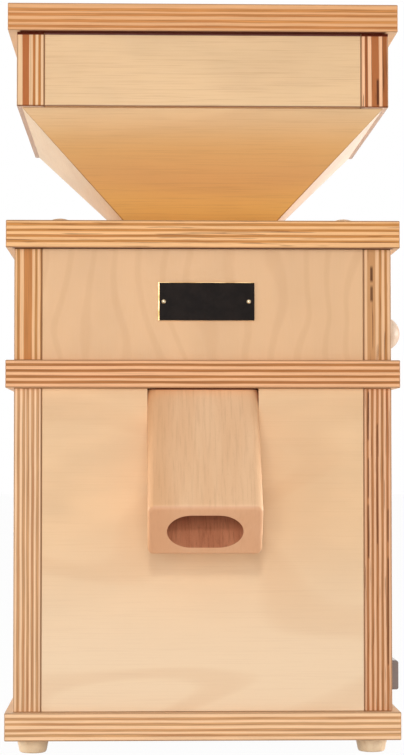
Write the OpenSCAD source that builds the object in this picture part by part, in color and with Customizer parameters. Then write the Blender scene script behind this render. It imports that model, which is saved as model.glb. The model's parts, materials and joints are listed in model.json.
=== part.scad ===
// Electric grain mill: a plywood tower with the motor below and the stone mill head above.
// Millimetres, +Z up, front towards -Y. The motor and both millstones share one upright axis.

/* [Boards] */
// Thickness of the plywood boards and panels
board_t = 12; // [11:0.5:13]
// Outer width and depth of the two housings
body_w = 163.5; // [160:0.5:176]
// How far the base, middle and top boards stand out past the housings
overhang = 3.5; // [1:0.5:8]
// Height of the lower (motor) housing
lower_h = 139.5; // [132:0.5:180]
// Height of the upper (mill head) housing
upper_h = 48.5; // [46:0.5:56]
// Side of the corner blocks in the upper housing
corner_block = 14; // [13:0.5:15]

/* [Feet] */
// Height of the feet
foot_h = 6; // [4.5:0.5:12]
// Diameter of a foot where it meets the base board
foot_d = 14; // [12:0.5:20]
// Diameter of a foot where it stands
foot_tip_d = 11.5; // [10:0.5:16]
// From the base board's edges to a foot's centre
foot_inset = 11.75; // [10:0.25:16]

/* [Hopper] */
// Outer width and depth of the hopper box
hopper_w = 162; // [150:1:176]
// Height of the hopper box
hopper_h = 32.5; // [24:0.5:60]
// Height of the sloping funnel
funnel_h = 50; // [44:1:64]
// Outer width of the funnel where it stands on the top board
funnel_foot_w = 60; // [58:1:70]
// From the hopper box's outer face to the funnel's outer face
funnel_inset = 2; // [1:0.5:6]
// How far the lid stands out past the hopper box
lid_overhang = 3.75; // [1:0.25:8]
// Thickness of the board under the lid that centres it
cleat_t = 8; // [4:0.5:12]
// Gap around that board inside the hopper box
cleat_gap = 1; // [0.5:0.25:3]

/* [Spout] */
// Width of the spout block
spout_w = 48; // [44:1:56]
// Thickness of the spout block
spout_t = 24; // [22:0.5:27]
// Slope of the spout below the horizontal, in degrees
spout_slope = 52; // [48:1:56]
// How far the spout reaches past the front panel
spout_reach = 39; // [30:1:46]
// Lean of the spout's end face from upright, in degrees
spout_end_lean = 35; // [20:1:45]
// Radius along the spout's four long edges
spout_edge_r = 2.5; // [1:0.5:3.5]
// Width of the flour channel
channel_w = 32; // [28:1:34]
// Thickness of the flour channel
channel_t = 16; // [12:0.5:17]
// Gap around the spout in the front panel
spout_gap = 0.1; // [0.1:0.1:0.6]

/* [Badge] */
// Width of the bare badge plate
badge_w = 41.7; // [30:0.5:60]
// Height of the badge plate
badge_h = 16.5; // [12:0.5:24]
// Thickness of the badge plate
badge_t = 1; // [0.6:0.2:2]
// Badge centre from the housing's middle
badge_x = 1.4; // [-10:0.2:10]
// Badge centre above the middle board
badge_up = 25.5; // [18:0.5:30]
// From the badge's ends to its nails
nail_inset = 2.4; // [2:0.2:4]
// Diameter of the nail heads
nail_head_d = 2.4; // [1.8:0.2:3]
// Diameter of the nail shanks
nail_d = 1; // [0.8:0.1:1.4]

/* [Cover plugs] */
// Diameter of the domed wooden plugs on the top board
plug_d = 15; // [13:0.5:18]
// Height of the plugs' domes
plug_h = 3; // [2:0.25:5]
// Diameter of a plug's stem
plug_stem_d = 10.6; // [10:0.1:11.5]
// Length of a plug's stem
plug_stem_h = 3; // [2:0.25:4]

/* [Switch] */
// Length of the switch frame, front to back
switch_l = 21.5; // [20.5:0.5:24.5]
// Height of the switch's thin flange
switch_h = 16.4; // [15.8:0.2:20]
// Thickness of that flange
switch_lip = 0.6; // [0.4:0.1:1.2]
// Height of the raised frame around the rocker, level with the flange's top
switch_frame_h = 12.8; // [12.4:0.2:14]
// How far the raised frame stands out of the side panel
switch_proud = 4.2; // [2:0.1:5]
// Centre of the switch behind the front of the housing
switch_back = 23.5; // [22.5:0.5:32]
// Centre of the switch above the base board
switch_up = 14.2; // [11:0.2:24]
// Length of the rocker
rocker_l = 16.4; // [14:0.2:17]
// Width of the rocker
rocker_w = 9.8; // [8.6:0.2:10]
// Tilt of the rocker to either side, in degrees
rocker_tilt = 9; // [6:1:10]

/* [Cable entry] */
// Bore for the mains lead
gland_bore_d = 7.2; // [5:0.2:8]
// Diameter of the gland's threaded shank
gland_shank_d = 12; // [11:0.5:16]
// How far the gland stands out of the back panel
gland_proud = 10; // [8:0.5:16]
// From the right panel's inner face to the gland's centre
gland_in = 21.75; // [15.75:0.25:30]
// Gland centre above the base board
gland_up = 16; // [14:0.5:24]

/* [Motor] */
// Outer diameter of the motor shell
motor_d = 92; // [88:0.5:94]
// Length of the motor shell
motor_l = 58; // [54:0.5:62]
// Wall of the motor shell
motor_wall = 2; // [1.5:0.25:3]
// Diameter of the rotor
rotor_d = 48; // [44:0.5:52]
// Gap between rotor and stator
air_gap = 0.4; // [0.3:0.05:0.6]
// Thickness of the motor's mounting flange
flange_t = 6; // [5:0.5:8]
// Shaft diameter in the upper bearing
shaft_d = 15; // [14:0.5:16]
// Shaft diameter in the lower bearing, the fan and the stone hub
shaft_end_d = 12; // [10:0.5:12]
// Diameter of the cooling fan
fan_d = 80; // [60:1:84]
// Height of the cooling fan
fan_h = 11; // [8:0.5:13]
// Number of fan blades
fan_blades = 9; // [7:1:12]

/* [Capacitor] */
// Diameter of the run capacitor
cap_d = 30; // [24:0.5:31]
// Length of the run capacitor
cap_l = 62; // [40:1:70]

/* [Mill head] */
// Diameter of both millstones
stone_d = 98; // [90:0.5:99]
// Thickness of a millstone
stone_t = 11; // [9:0.25:12]
// Hole in the middle of the millstones
stone_eye_d = 31; // [28:0.5:33]
// Gap between the stones with the lever at its coarse end
coarse_gap = 1.7; // [1.6:0.05:2.4]
// Gap around the stones in the flour chamber
chamber_gap = 4.5; // [4:0.25:5]
// Height of the flour chamber
chamber_h = 13.5; // [13:0.25:14]
// Thickness of the flour chamber's floor
chamber_floor = 3; // [2:0.25:3.25]
// Wall of the stone carrier's threaded rim
carrier_wall = 4.7; // [3.5:0.1:6]
// Thickness of the stone carrier's plate
carrier_t = 5; // [4:0.25:6]
// Height of the adjusting ring
ring_h = 16; // [12:0.5:17]
// Wall of the adjusting ring
ring_t = 7; // [5:0.5:9]
// Inner diameter of the feed tube
feed_d = 25; // [20:0.5:26]
// Wall of the feed tube
feed_wall = 2; // [1.5:0.25:2.5]

/* [Lever] */
// Diameter of the lever rod
lever_d = 6; // [4:0.5:8]
// Height of the lever above the middle board
lever_up = 18.5; // [18:0.25:24]
// Swing of the lever to either side of the middle, in degrees
lever_swing = 23.5; // [15:0.5:24]
// Diameter of the ball knob
knob_d = 16.8; // [14:0.2:22]
// Gap between the ball knob and the side panel at the ends of the swing
knob_gap = 1.5; // [1:0.25:4]

/* [Fasteners] */
// Diameter of the short wood screws
short_screw_d = 3.5; // [3:0.25:4]
// Length of the short wood screws
short_screw_l = 12; // [10:0.5:12]
// Diameter of the long wood screws
long_screw_d = 4; // [3:0.25:5]
// Length of the long wood screws
long_screw_l = 30; // [20:1:34]
// Diameter of the top board's screws
top_screw_d = 5; // [4:0.25:6]
// Length of the top board's screws
top_screw_l = 36; // [24:1:40]
// Diameter of the dowels through the middle board
dowel_d = 8; // [6:0.5:8]
// How deep a dowel sits in a panel
dowel_depth = 14; // [10:1:18]
// Diameter of the motor's mounting bolts
motor_bolt_d = 5; // [4:0.25:6]
// Diameter of the motor's tie bolts
tie_bolt_d = 4; // [3:0.25:5]
// Diameter of the stone carrier's guide pins
guide_pin_d = 5; // [4:0.25:6]

/* [Hidden] */
$fn = 64;

// Clearances
fit = 0.1;          // a fixed pin, plug or screw in its hole
run = 0.05;         // a turning or sliding fit
cut = 1;            // how far a cutting body runs past what it cuts
thin = 0.3;         // between curved faces that pass each other

// Levels, from the floor up
base_z = foot_h;
lower_z = base_z + board_t;
mid_z = lower_z + lower_h;
upper_z = mid_z + board_t;
top_z = upper_z + upper_h;
funnel_z = top_z + board_t;
hopper_z = funnel_z + funnel_h;
lid_z = hopper_z + hopper_h;

// Plan sizes
board_w = body_w + 2 * overhang;
half_w = body_w / 2;
inner = half_w - board_t;               // inner face of a housing panel
panel_c = half_w - board_t / 2;         // middle of a housing panel
foot_c = board_w / 2 - foot_inset;
block_c = inner - corner_block / 2;
lid_w = hopper_w + 2 * lid_overhang;

// Funnel boards
funnel_top = hopper_w / 2 - funnel_inset;
funnel_run = funnel_top - funnel_foot_w / 2;
funnel_flat = board_t * sqrt(1 + pow(funnel_run / funnel_h, 2));

// Spout: the top face starts just inside the front panel's face, under the middle board
spout_seat = 0.6;
spout_y = -half_w + spout_seat;
spout_len = (spout_reach + spout_seat) / cos(spout_slope);
spout_toe = spout_t * tan(90 - spout_end_lean - (90 - spout_slope));
spout_root = spout_t / tan(spout_slope) + cut;
spout_cut = 200;

// Places of screws, dowels and air holes, from the middle of the mill
foot_seat = 2.5;
side_screw_y = 30;
cross_screw_x = 25;
dowel_at = 45;
spout_screw_in = 7.75;
bolt_angles = [45, 135, 225, 315];
air_hole_d = 9;
air_rows = [[20, 6], [36, 12]];
vents = 5;
vent_w = 64;
vent_h = 5;
vent_pitch = 10;

// Badge nails
nail_l = 6;
nail_dome = 0.5;

// Switch and rocker
switch_body_l = switch_l - 2;
switch_body_h = switch_frame_h - 1;
switch_drop = (switch_h - switch_frame_h) / 2;
switch_depth = 20;
switch_well = 12;
switch_round = 1.1;
rocker_gap = 0.3;
rocker_rise = switch_proud + fit;
rocker_dip = 1.3;
rocker_keel = 3;
pivot_in = 1.2;
pivot_d = 2;
pivot_l = switch_body_h - 0.4;

// Cable gland
gland_x = inner - gland_in;
gland_af = gland_shank_d + 4;
gland_hex_h = 4;
gland_tail = 5;

// Lever and its slot
lever_z = upper_z + lever_up;
lever_r = (half_w + knob_gap + knob_d / 2) / cos(lever_swing);
slot_end = 1;
slot_h = lever_d + 2;
slot_half = half_w * tan(lever_swing) + lever_d / 2 / cos(lever_swing) + slot_end;

// Motor, hanging under the middle board
shell_r = motor_d / 2;
flange_z = mid_z - flange_t;
shield_h = 10.5;
shield_wall = 3;
shell_top = flange_z - shield_h;
shell_z = shell_top - motor_l;
end_z = shell_z - 13;
end_plate = 4;
end_hole_r = 31;
end_hole_d = 11;
ear_r = 54;
ear_d = 12;
tie_r = shell_r + tie_bolt_d / 2 + 1.5;
tie_ear_d = tie_bolt_d + 5;
tie_angles = [20, 160, 200, 340];
core_z = shell_z + 7;
core_h = motor_l - 14;
core_end = 6;
coil_h = 12;
coil_r = shell_r - 7;
coil_round = 3;
bolt_head = 3;
fan_plate = 2;
fan_blade_t = 1.6;
fan_drop = 4;

// Capacitor, its strap and the leads
clamp_w = 12;
clamp_t = 1.2;
cap_x = -inner + clamp_t + fit + cap_d / 2;
cap_y = inner - thin - clamp_t - fit - cap_d / 2;
cap_z = lower_z + 30;
tag_x = 5;
tag_w = 6;
tag_t = 0.8;
tag_h = 8;
clamp_z = cap_z + cap_l / 2 - clamp_w / 2;
clamp_tab = cap_d / 2 + 14;
lead_r = 1.1;
lead_half = 3;
lead_x = (shell_r + inner) / 2;
lead_angles = [0, 135];
lead_z = shell_top + 3.5;
lead_hole = [11, 5];

// Bearings: [inner diameter, outer diameter, width, bottom]
bearing_up = [shaft_d, 35, 11, flange_z - 2];
bearing_low = [shaft_end_d, 32, 10, end_z + 2];
bearings = [bearing_up, bearing_low];
ring_wall = 4;
boss_wall = 4;
boss_r = bearing_up[1] / 2 + boss_wall;
boss_up = 1.5;
boss_down = 4;
shoulder = 3;

// Mill head, standing on the middle board
hub_z = upper_z + 4.5;
hub_t = 4;
hub_wall = 8;
hub_boss_d = shaft_end_d + 2 * hub_wall;
hub_boss_h = 2.7;
sweeper_t = 3;
runner_z = hub_z + hub_t;
fixed_z = runner_z + stone_t + coarse_gap;
carrier_z = fixed_z + stone_t;
skirt_z = fixed_z + 0.2;
rim_z = upper_z + chamber_h;
chamber_wall = 6.5;
stone_r = stone_d / 2;
chamber_r = stone_r + chamber_gap;
stone_seat = 0.3;
carrier_r = stone_r + stone_seat + carrier_wall;
ring_r = carrier_r + ring_t;
nose_w = 42;
nose_front = inner - 1;
nose_roof = 2;
lug_r = chamber_r + chamber_wall + 3;
lug_d = 12;
lug_angles = [30, 150, 210, 330];
pin_r = 36;
pin_angles = [30, 150, 270];
pin_sink = 4;
washer_d = 24;
washer_t = 1.6;
nut_h = 6;
nut_af = 13;
thread_d = 8;
shaft_top = runner_z + 12;
feed_r = feed_d / 2 + feed_wall;
spring_turns = 4;
spring_wire = 1;
spring_r = guide_pin_d / 2 + spring_wire / 2 + 0.8;

// Whole footprint: the origin lies at the middle of it, on the floor
x_high = lever_r * cos(lever_swing) + knob_d / 2;
y_low = half_w + spout_reach;
y_high = max(board_w / 2, half_w + gland_proud);
mill_x = (board_w / 2 - x_high) / 2;
mill_y = (y_low - y_high) / 2;

// ---- Shared shapes ----

module placed() {
    translate([mill_x, mill_y, 0]) children();
}

module slab(w, d, h, z) {
    translate([-w / 2, -d / 2, z]) cube([w, d, h]);
}

module ring(r_out, r_in, h, z) {
    translate([0, 0, z]) difference() {
        cylinder(r = r_out, h = h);
        translate([0, 0, -cut]) cylinder(r = r_in, h = h + 2 * cut);
    }
}

module at_corners(x, y) {
    for (sx = [-1, 1], sy = [-1, 1]) translate([sx * x, sy * y, 0]) children();
}

module around(angles, r) {
    for (a = angles) rotate([0, 0, a]) translate([r, 0, 0]) children();
}

// A countersunk screw with its head's top at z = 0, pointing down
module screw(d, l) {
    head = d / 2;
    union() {
        translate([0, 0, -head]) cylinder(r1 = d / 2, r2 = d, h = head);
        translate([0, 0, -l]) cylinder(r = d / 2, h = l - head / 2);
    }
}

// The hole for such a screw, wider by the fit
module screw_hole(d, l) {
    head = d / 2 + fit;
    translate([0, 0, -head]) cylinder(r1 = d / 2 + fit, r2 = d + 2 * fit, h = head);
    translate([0, 0, -fit]) cylinder(r = d + fit, h = cut + fit);
    translate([0, 0, -l - fit]) cylinder(r = d / 2 + fit, h = l + fit);
}

module hex(af, h) {
    cylinder(r = af / sqrt(3), h = h, $fn = 6);
}

// ---- Places of the fasteners ----

module at_feet() at_corners(foot_c, foot_c) children();
module at_base_screws() {
    at_corners(panel_c, side_screw_y) children();
    at_corners(cross_screw_x, panel_c) children();
}
module at_dowels() {
    at_corners(panel_c, dowel_at) children();
    at_corners(dowel_at, panel_c) children();
}
module at_spout_screws() {
    for (s = [-1, 1])
        translate([s * (spout_w + channel_w) / 4, -half_w + spout_screw_in, upper_z]) children();
}
module at_blocks() at_corners(block_c, block_c) children();
module at_lugs() around(lug_angles, lug_r) children();
module at_motor_bolts() around(bolt_angles, ear_r) children();
module at_tie_bolts() around(tie_angles, tie_r) children();
module at_pins() around(pin_angles, pin_r) children();

module foot_screw_places() at_feet() translate([0, 0, foot_seat]) mirror([0, 0, 1]) children();
module base_screw_places() at_base_screws() translate([0, 0, base_z]) mirror([0, 0, 1]) children();
module lug_screw_places() at_lugs() translate([0, 0, upper_z + chamber_floor]) children();
module clamp_screw_place() {
    translate([-inner + clamp_t, cap_y - clamp_tab + clamp_w / 2, clamp_z + clamp_w / 2])
        rotate([0, 90, 0]) children();
}

// ---- Base and lower housing ----

module base_board() {
    color("burlywood") placed() difference() {
        slab(board_w, board_w, board_t, base_z);
        foot_screw_places() screw_hole(short_screw_d, short_screw_l);
        base_screw_places() screw_hole(long_screw_d, long_screw_l);
        // Air holes under the fan
        for (row = air_rows, i = [0 : row[1] - 1]) rotate([0, 0, i * 360 / row[1]])
            translate([row[0], 0, base_z - cut]) cylinder(d = air_hole_d, h = board_t + 2 * cut);
    }
}

module feet() {
    color("tan") placed() difference() {
        at_feet() cylinder(d1 = foot_tip_d, d2 = foot_d, h = foot_h);
        foot_screw_places() screw_hole(short_screw_d, short_screw_l);
        at_feet() translate([0, 0, -cut]) cylinder(r = short_screw_d + fit, h = foot_seat + cut);
    }
}

module short_screws() {
    color("silver") placed() {
        foot_screw_places() screw(short_screw_d, short_screw_l);
        lug_screw_places() screw(short_screw_d, short_screw_l);
        clamp_screw_place() screw(short_screw_d, short_screw_l);
    }
}

module long_screws() {
    color("silver") placed() {
        base_screw_places() screw(long_screw_d, long_screw_l);
        at_spout_screws() screw(long_screw_d, long_screw_l);
    }
}

// One panel of a housing: side panels run the full depth, front and back fit between them
module side_panel(side, z, h) {
    translate([side * panel_c - board_t / 2, -half_w, z]) cube([board_t, body_w, h]);
}

module cross_panel(side, z, h) {
    translate([-inner, side * panel_c - board_t / 2, z]) cube([2 * inner, board_t, h]);
}

module panel_holes() {
    base_screw_places() screw_hole(long_screw_d, long_screw_l);
    at_dowels() translate([0, 0, mid_z - dowel_depth - fit])
        cylinder(d = dowel_d + 2 * fit, h = board_t + 2 * (dowel_depth + fit));
}

module lower_left_panel() {
    color("burlywood") placed() difference() {
        side_panel(-1, lower_z, lower_h);
        panel_holes();
        clamp_screw_place() screw_hole(short_screw_d, short_screw_l);
    }
}

module lower_right_panel() {
    color("burlywood") placed() difference() {
        side_panel(1, lower_z, lower_h);
        panel_holes();
        at_switch() translate([-board_t - cut, -switch_body_l / 2 - fit, -switch_body_h / 2 - fit])
            cube([board_t + 2 * cut, switch_body_l + 2 * fit, switch_body_h + 2 * fit]);
    }
}

module lower_front_panel() {
    color("wheat") placed() difference() {
        cross_panel(-1, lower_z, lower_h);
        panel_holes();
        along_spout() translate([-spout_w / 2 - spout_gap, -spout_t - spout_gap, -spout_cut / 2])
            cube([spout_w + 2 * spout_gap, spout_t + 2 * board_t, spout_cut]);
    }
}

module lower_back_panel() {
    color("wheat") placed() difference() {
        cross_panel(1, lower_z, lower_h);
        panel_holes();
        at_gland() translate([0, 0, -board_t - cut])
            cylinder(d = gland_shank_d + 2 * fit, h = board_t + 2 * cut);
        // Air slots behind the motor
        for (i = [0 : vents - 1])
            translate([0, inner - cut, shell_z + vent_pitch * (i + 1 / 2)]) rotate([-90, 0, 0])
                linear_extrude(board_t + 2 * cut) slot(vent_w, vent_h);
    }
}

// A slot's outline, round at both ends
module slot(l, w) {
    square([l - w, w], center = true);
    for (s = [-1, 1]) translate([s * (l - w) / 2, 0]) circle(d = w);
}

// ---- Middle board and what crosses it ----

module middle_board() {
    color("burlywood") placed() difference() {
        slab(board_w, board_w, board_t, mid_z);
        translate([0, 0, mid_z - cut]) cylinder(r = boss_r + thin, h = board_t + 2 * cut);
        at_motor_bolts() translate([0, 0, upper_z]) screw_hole(motor_bolt_d, board_t);
        at_dowels() translate([0, 0, mid_z - cut])
            cylinder(d = dowel_d + 2 * fit, h = board_t + 2 * cut);
        at_spout_screws() screw_hole(long_screw_d, long_screw_l);
        lug_screw_places() screw_hole(short_screw_d, short_screw_l);
        flour_channel();
    }
}

module dowels() {
    color("burlywood") placed()
        at_dowels() translate([0, 0, mid_z - dowel_depth])
            cylinder(d = dowel_d, h = board_t + 2 * dowel_depth);
}

// Axes of the spout: x across, y out of its top face, z down along it
module along_spout() {
    translate([0, spout_y, mid_z]) rotate([90 + spout_slope, 0, 0]) children();
}

// The flour channel, from the mill head through the middle board and the spout
module flour_channel() {
    along_spout() translate([0, -spout_t / 2, -spout_root - board_t / sin(spout_slope) - channel_t])
        linear_extrude(spout_cut) slot(channel_w, channel_t);
}

// Side view of the spout in its own axes: along it, and down from its top face
module spout_side() {
    polygon([
        [0, 0],
        [spout_len, 0],
        [spout_len + spout_toe, -spout_t],
        [-spout_t / tan(spout_slope), -spout_t]]);
}

module spout() {
    color("#d9a878") placed() difference() {
        intersection() {
            along_spout() rotate([0, -90, 0]) translate([0, 0, -spout_w / 2])
                linear_extrude(spout_w) spout_side();
            along_spout() translate([0, -spout_t / 2, -spout_cut / 2])
                linear_extrude(spout_cut) rounded(spout_w, spout_t, spout_edge_r);
        }
        flour_channel();
        at_spout_screws() screw_hole(long_screw_d, long_screw_l);
    }
}

// A rectangle with round corners
module rounded(w, h, r) {
    square([w - 2 * r, h], center = true);
    square([w, h - 2 * r], center = true);
    for (sx = [-1, 1], sy = [-1, 1]) translate([sx * (w / 2 - r), sy * (h / 2 - r)]) circle(r = r);
}

// ---- Upper housing ----

module upper_left_panel() {
    color("burlywood") placed() difference() {
        side_panel(-1, upper_z, upper_h);
        panel_holes();
    }
}

module upper_right_panel() {
    color("burlywood") placed() difference() {
        side_panel(1, upper_z, upper_h);
        panel_holes();
        translate([inner - cut, 0, lever_z]) rotate([90, 0, 90])
            linear_extrude(board_t + 2 * cut) slot(2 * slot_half, slot_h);
    }
}

module upper_front_panel() {
    color("wheat") placed() difference() {
        cross_panel(-1, upper_z, upper_h);
        panel_holes();
        at_nails() translate([0, 0, -nail_l - fit]) cylinder(d = nail_d + 2 * fit, h = nail_l + cut);
    }
}

module upper_back_panel() {
    color("wheat") placed() difference() {
        cross_panel(1, upper_z, upper_h);
        panel_holes();
    }
}

module top_screw_places() at_blocks() translate([0, 0, funnel_z - plug_stem_h - fit]) children();

module corner_blocks() {
    color("burlywood") placed() difference() {
        at_blocks() translate([-corner_block / 2, -corner_block / 2, upper_z])
            cube([corner_block, corner_block, upper_h]);
        top_screw_places() screw_hole(top_screw_d, top_screw_l);
    }
}

module top_board() {
    color("burlywood") placed() difference() {
        slab(board_w, board_w, board_t, top_z);
        translate([0, 0, top_z - cut]) cylinder(r = feed_r + fit, h = board_t + 2 * cut);
        top_screw_places() screw_hole(top_screw_d, top_screw_l);
        top_screw_places() cylinder(d = plug_stem_d + 2 * fit, h = board_t);
        at_pins() translate([0, 0, top_z - cut])
            cylinder(d = guide_pin_d + 2 * fit, h = pin_sink + fit + cut);
    }
}

module top_screws() {
    color("silver") placed() top_screw_places() screw(top_screw_d, top_screw_l);
}

// A domed plug, pushed into the counterbore over each of the top board's screws
module cover_plugs() {
    dome_r = (pow(plug_d / 2, 2) + pow(plug_h, 2)) / (2 * plug_h);
    color("tan") placed() at_blocks() translate([0, 0, funnel_z]) union() {
        translate([0, 0, -plug_stem_h]) cylinder(d = plug_stem_d, h = plug_stem_h);
        intersection() {
            translate([0, 0, plug_h - dome_r]) sphere(r = dome_r);
            cylinder(d = plug_d + cut, h = plug_h + cut);
        }
    }
}

// ---- Hopper and lid ----

module hopper_side(side) {
    translate([side * (hopper_w - board_t) / 2 - board_t / 2, -hopper_w / 2, hopper_z])
        cube([board_t, hopper_w, hopper_h]);
}

module hopper_cross(side) {
    w = hopper_w - 2 * board_t;
    translate([-w / 2, side * (hopper_w - board_t) / 2 - board_t / 2, hopper_z])
        cube([w, board_t, hopper_h]);
}

module hopper_left_board() { color("burlywood") placed() hopper_side(-1); }
module hopper_right_board() { color("burlywood") placed() hopper_side(1); }
module hopper_front_board() { color("wheat") placed() hopper_cross(-1); }
module hopper_back_board() { color("wheat") placed() hopper_cross(1); }

// A sloping board with mitred ends, for the side that faces -Y before it is turned
module funnel_board(turn) {
    foot = funnel_foot_w / 2;
    rotate([0, 0, turn]) intersection() {
        translate([-hopper_w, 0, funnel_z]) rotate([90, 0, 90]) linear_extrude(2 * hopper_w)
            polygon([
                [-foot, 0],
                [-foot + funnel_flat, 0],
                [-funnel_top + funnel_flat, funnel_h],
                [-funnel_top, funnel_h]]);
        translate([0, 0, funnel_z]) linear_extrude(funnel_h)
            polygon([[0, 0], [-hopper_w, -hopper_w], [hopper_w, -hopper_w]]);
    }
}

module funnel_front_board() { color("#e0b888") placed() funnel_board(0); }
module funnel_right_board() { color("#e8c498") placed() funnel_board(90); }
module funnel_back_board() { color("#e0b888") placed() funnel_board(180); }
module funnel_left_board() { color("#e8c498") placed() funnel_board(270); }

module lid_board() {
    color("burlywood") placed() slab(lid_w, lid_w, board_t, lid_z);
}

module lid_cleat() {
    w = hopper_w - 2 * board_t - 2 * cleat_gap;
    color("wheat") placed() slab(w, w, cleat_t, lid_z - cleat_t);
}

// ---- Badge ----

module at_nails() {
    for (s = [-1, 1])
        translate([badge_x + s * (badge_w / 2 - nail_inset), -half_w, upper_z + badge_up])
            rotate([90, 0, 0]) children();
}

module badge_plate() {
    color("#201c18") placed() difference() {
        translate([badge_x - badge_w / 2, -half_w - badge_t, upper_z + badge_up - badge_h / 2])
            cube([badge_w, badge_t, badge_h]);
        at_nails() translate([0, 0, -cut]) cylinder(d = nail_d + 2 * fit, h = badge_t + 2 * cut);
    }
}

module badge_nails() {
    color("goldenrod") placed() at_nails() union() {
        translate([0, 0, -nail_l]) cylinder(d = nail_d, h = nail_l + badge_t + fit);
        translate([0, 0, badge_t]) intersection() {
            translate([0, 0, nail_dome - nail_head_d / 2]) sphere(d = nail_head_d);
            cylinder(d = nail_head_d, h = nail_head_d);
        }
    }
}

// ---- Switch ----

// Origin on the side panel's outer face, at the middle of the switch's raised frame
module at_switch() {
    translate([half_w, -half_w + switch_back, lower_z + switch_up]) children();
}

module switch_housing() {
    open_l = rocker_l + 2 * rocker_gap;
    open_h = rocker_w + 2 * rocker_gap;
    color("#5c5852") placed() at_switch() difference() {
        union() {
            translate([-switch_depth, -switch_body_l / 2, -switch_body_h / 2])
                cube([switch_depth + cut, switch_body_l, switch_body_h]);
            translate([0, 0, -switch_drop]) rotate([90, 0, 90])
                linear_extrude(switch_lip) rounded(switch_l, switch_h, switch_round);
            intersection() {
                rotate([90, 0, 90]) linear_extrude(switch_proud)
                    rounded(switch_l, switch_frame_h, switch_round);
                translate([0, switch_l / 2, 0]) rotate([90, 0, 0]) linear_extrude(switch_l)
                    rounded(2 * switch_proud, switch_frame_h, switch_round);
            }
        }
        translate([-switch_well, -open_l / 2, -open_h / 2])
            cube([switch_well + switch_proud + cut, open_l, open_h]);
        translate([-pivot_in, 0, -switch_body_h / 2 - cut])
            cylinder(d = pivot_d + 2 * run, h = switch_body_h + 2 * cut);
    }
}

// The rocker's side view, level, with its pivot at the origin: x back, y out of the panel
module rocker_side() {
    e = rocker_l / 2;
    lean = rocker_rise * tan(rocker_tilt);
    polygon([
        [-e + lean, rocker_rise], [0, rocker_rise - rocker_dip], [e - lean, rocker_rise],
        [e, 0], [rocker_keel, -rocker_keel], [-rocker_keel, -rocker_keel], [-e, 0]]);
}

module switch_rocker() {
    color("#6a6660") placed() at_switch() translate([-pivot_in, 0, 0]) union() {
        rotate([0, 0, rocker_tilt]) rotate([0, 0, 90]) mirror([0, 1, 0])
            translate([0, 0, -rocker_w / 2]) linear_extrude(rocker_w) rocker_side();
        translate([0, 0, -pivot_l / 2]) cylinder(d = pivot_d, h = pivot_l);
    }
}

// ---- Cable entry ----

module at_gland() {
    translate([gland_x, half_w, lower_z + gland_up]) rotate([-90, 0, 0]) children();
}

module cable_gland() {
    color("#303030") placed() at_gland() difference() {
        union() {
            translate([0, 0, -board_t - gland_tail])
                cylinder(d = gland_shank_d, h = board_t + gland_tail);
            hex(gland_af, gland_hex_h);
            cylinder(d = gland_shank_d + 2, h = gland_proud);
        }
        translate([0, 0, -board_t - gland_tail - cut])
            cylinder(d = gland_bore_d, h = board_t + gland_tail + gland_proud + 2 * cut);
    }
}

module gland_nut() {
    color("#404040") placed() at_gland() translate([0, 0, -board_t - gland_hex_h]) difference() {
        hex(gland_af, gland_hex_h);
        translate([0, 0, -cut]) cylinder(d = gland_shank_d + 2 * fit, h = gland_hex_h + 2 * cut);
    }
}

// ---- Motor ----

// Ears around a motor shield for the tie bolts
module tie_ears(z, h) {
    intersection() {
        union() for (a = tie_angles) rotate([0, 0, a]) union() {
            translate([tie_r, 0, z]) cylinder(d = tie_ear_d, h = h);
            translate([tie_r - tie_ear_d, -tie_ear_d / 2, z]) cube([tie_ear_d, tie_ear_d, h]);
        }
        ring(tie_r + tie_ear_d, shell_r - motor_wall, h, z);
    }
}

module tie_holes(z, h) {
    at_tie_bolts() translate([0, 0, z - cut]) cylinder(d = tie_bolt_d + 2 * fit, h = h + 2 * cut);
}

module motor_flange() {
    b = bearing_up;
    color("silver") placed() difference() {
        union() {
            translate([0, 0, flange_z]) cylinder(r = shell_r + 1, h = flange_t);
            translate([0, 0, flange_z - boss_down])
                cylinder(r = boss_r, h = boss_down + flange_t + board_t + boss_up);
            ring(shell_r, shell_r - shield_wall, shield_h, shell_top);
            tie_ears(shell_top, shield_h + flange_t);
            at_motor_bolts() translate([0, 0, flange_z]) cylinder(d = ear_d, h = flange_t);
            around(bolt_angles, 0) translate([0, -ear_d / 2, flange_z])
                cube([ear_r, ear_d, flange_t]);
        }
        translate([0, 0, b[3] - board_t]) cylinder(d = b[1] + 2 * fit, h = b[2] + board_t);
        translate([0, 0, mid_z]) cylinder(d = b[0] + ring_wall, h = 2 * board_t);
        tie_holes(shell_top, shield_h + flange_t / 2);
        // Holes for the leads
        around(lead_angles, shell_r - 2 * shield_wall) translate([0, 0, lead_z]) rotate([90, 0, 90])
            linear_extrude(3 * shield_wall) slot(lead_hole[0], lead_hole[1]);
        at_motor_bolts() translate([0, 0, flange_z - cut])
            cylinder(d = motor_bolt_d + 2 * fit, h = flange_t + 2 * cut);
    }
}

module motor_shell() {
    color("#4a6070") placed() ring(shell_r, shell_r - motor_wall, motor_l, shell_z);
}

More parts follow.
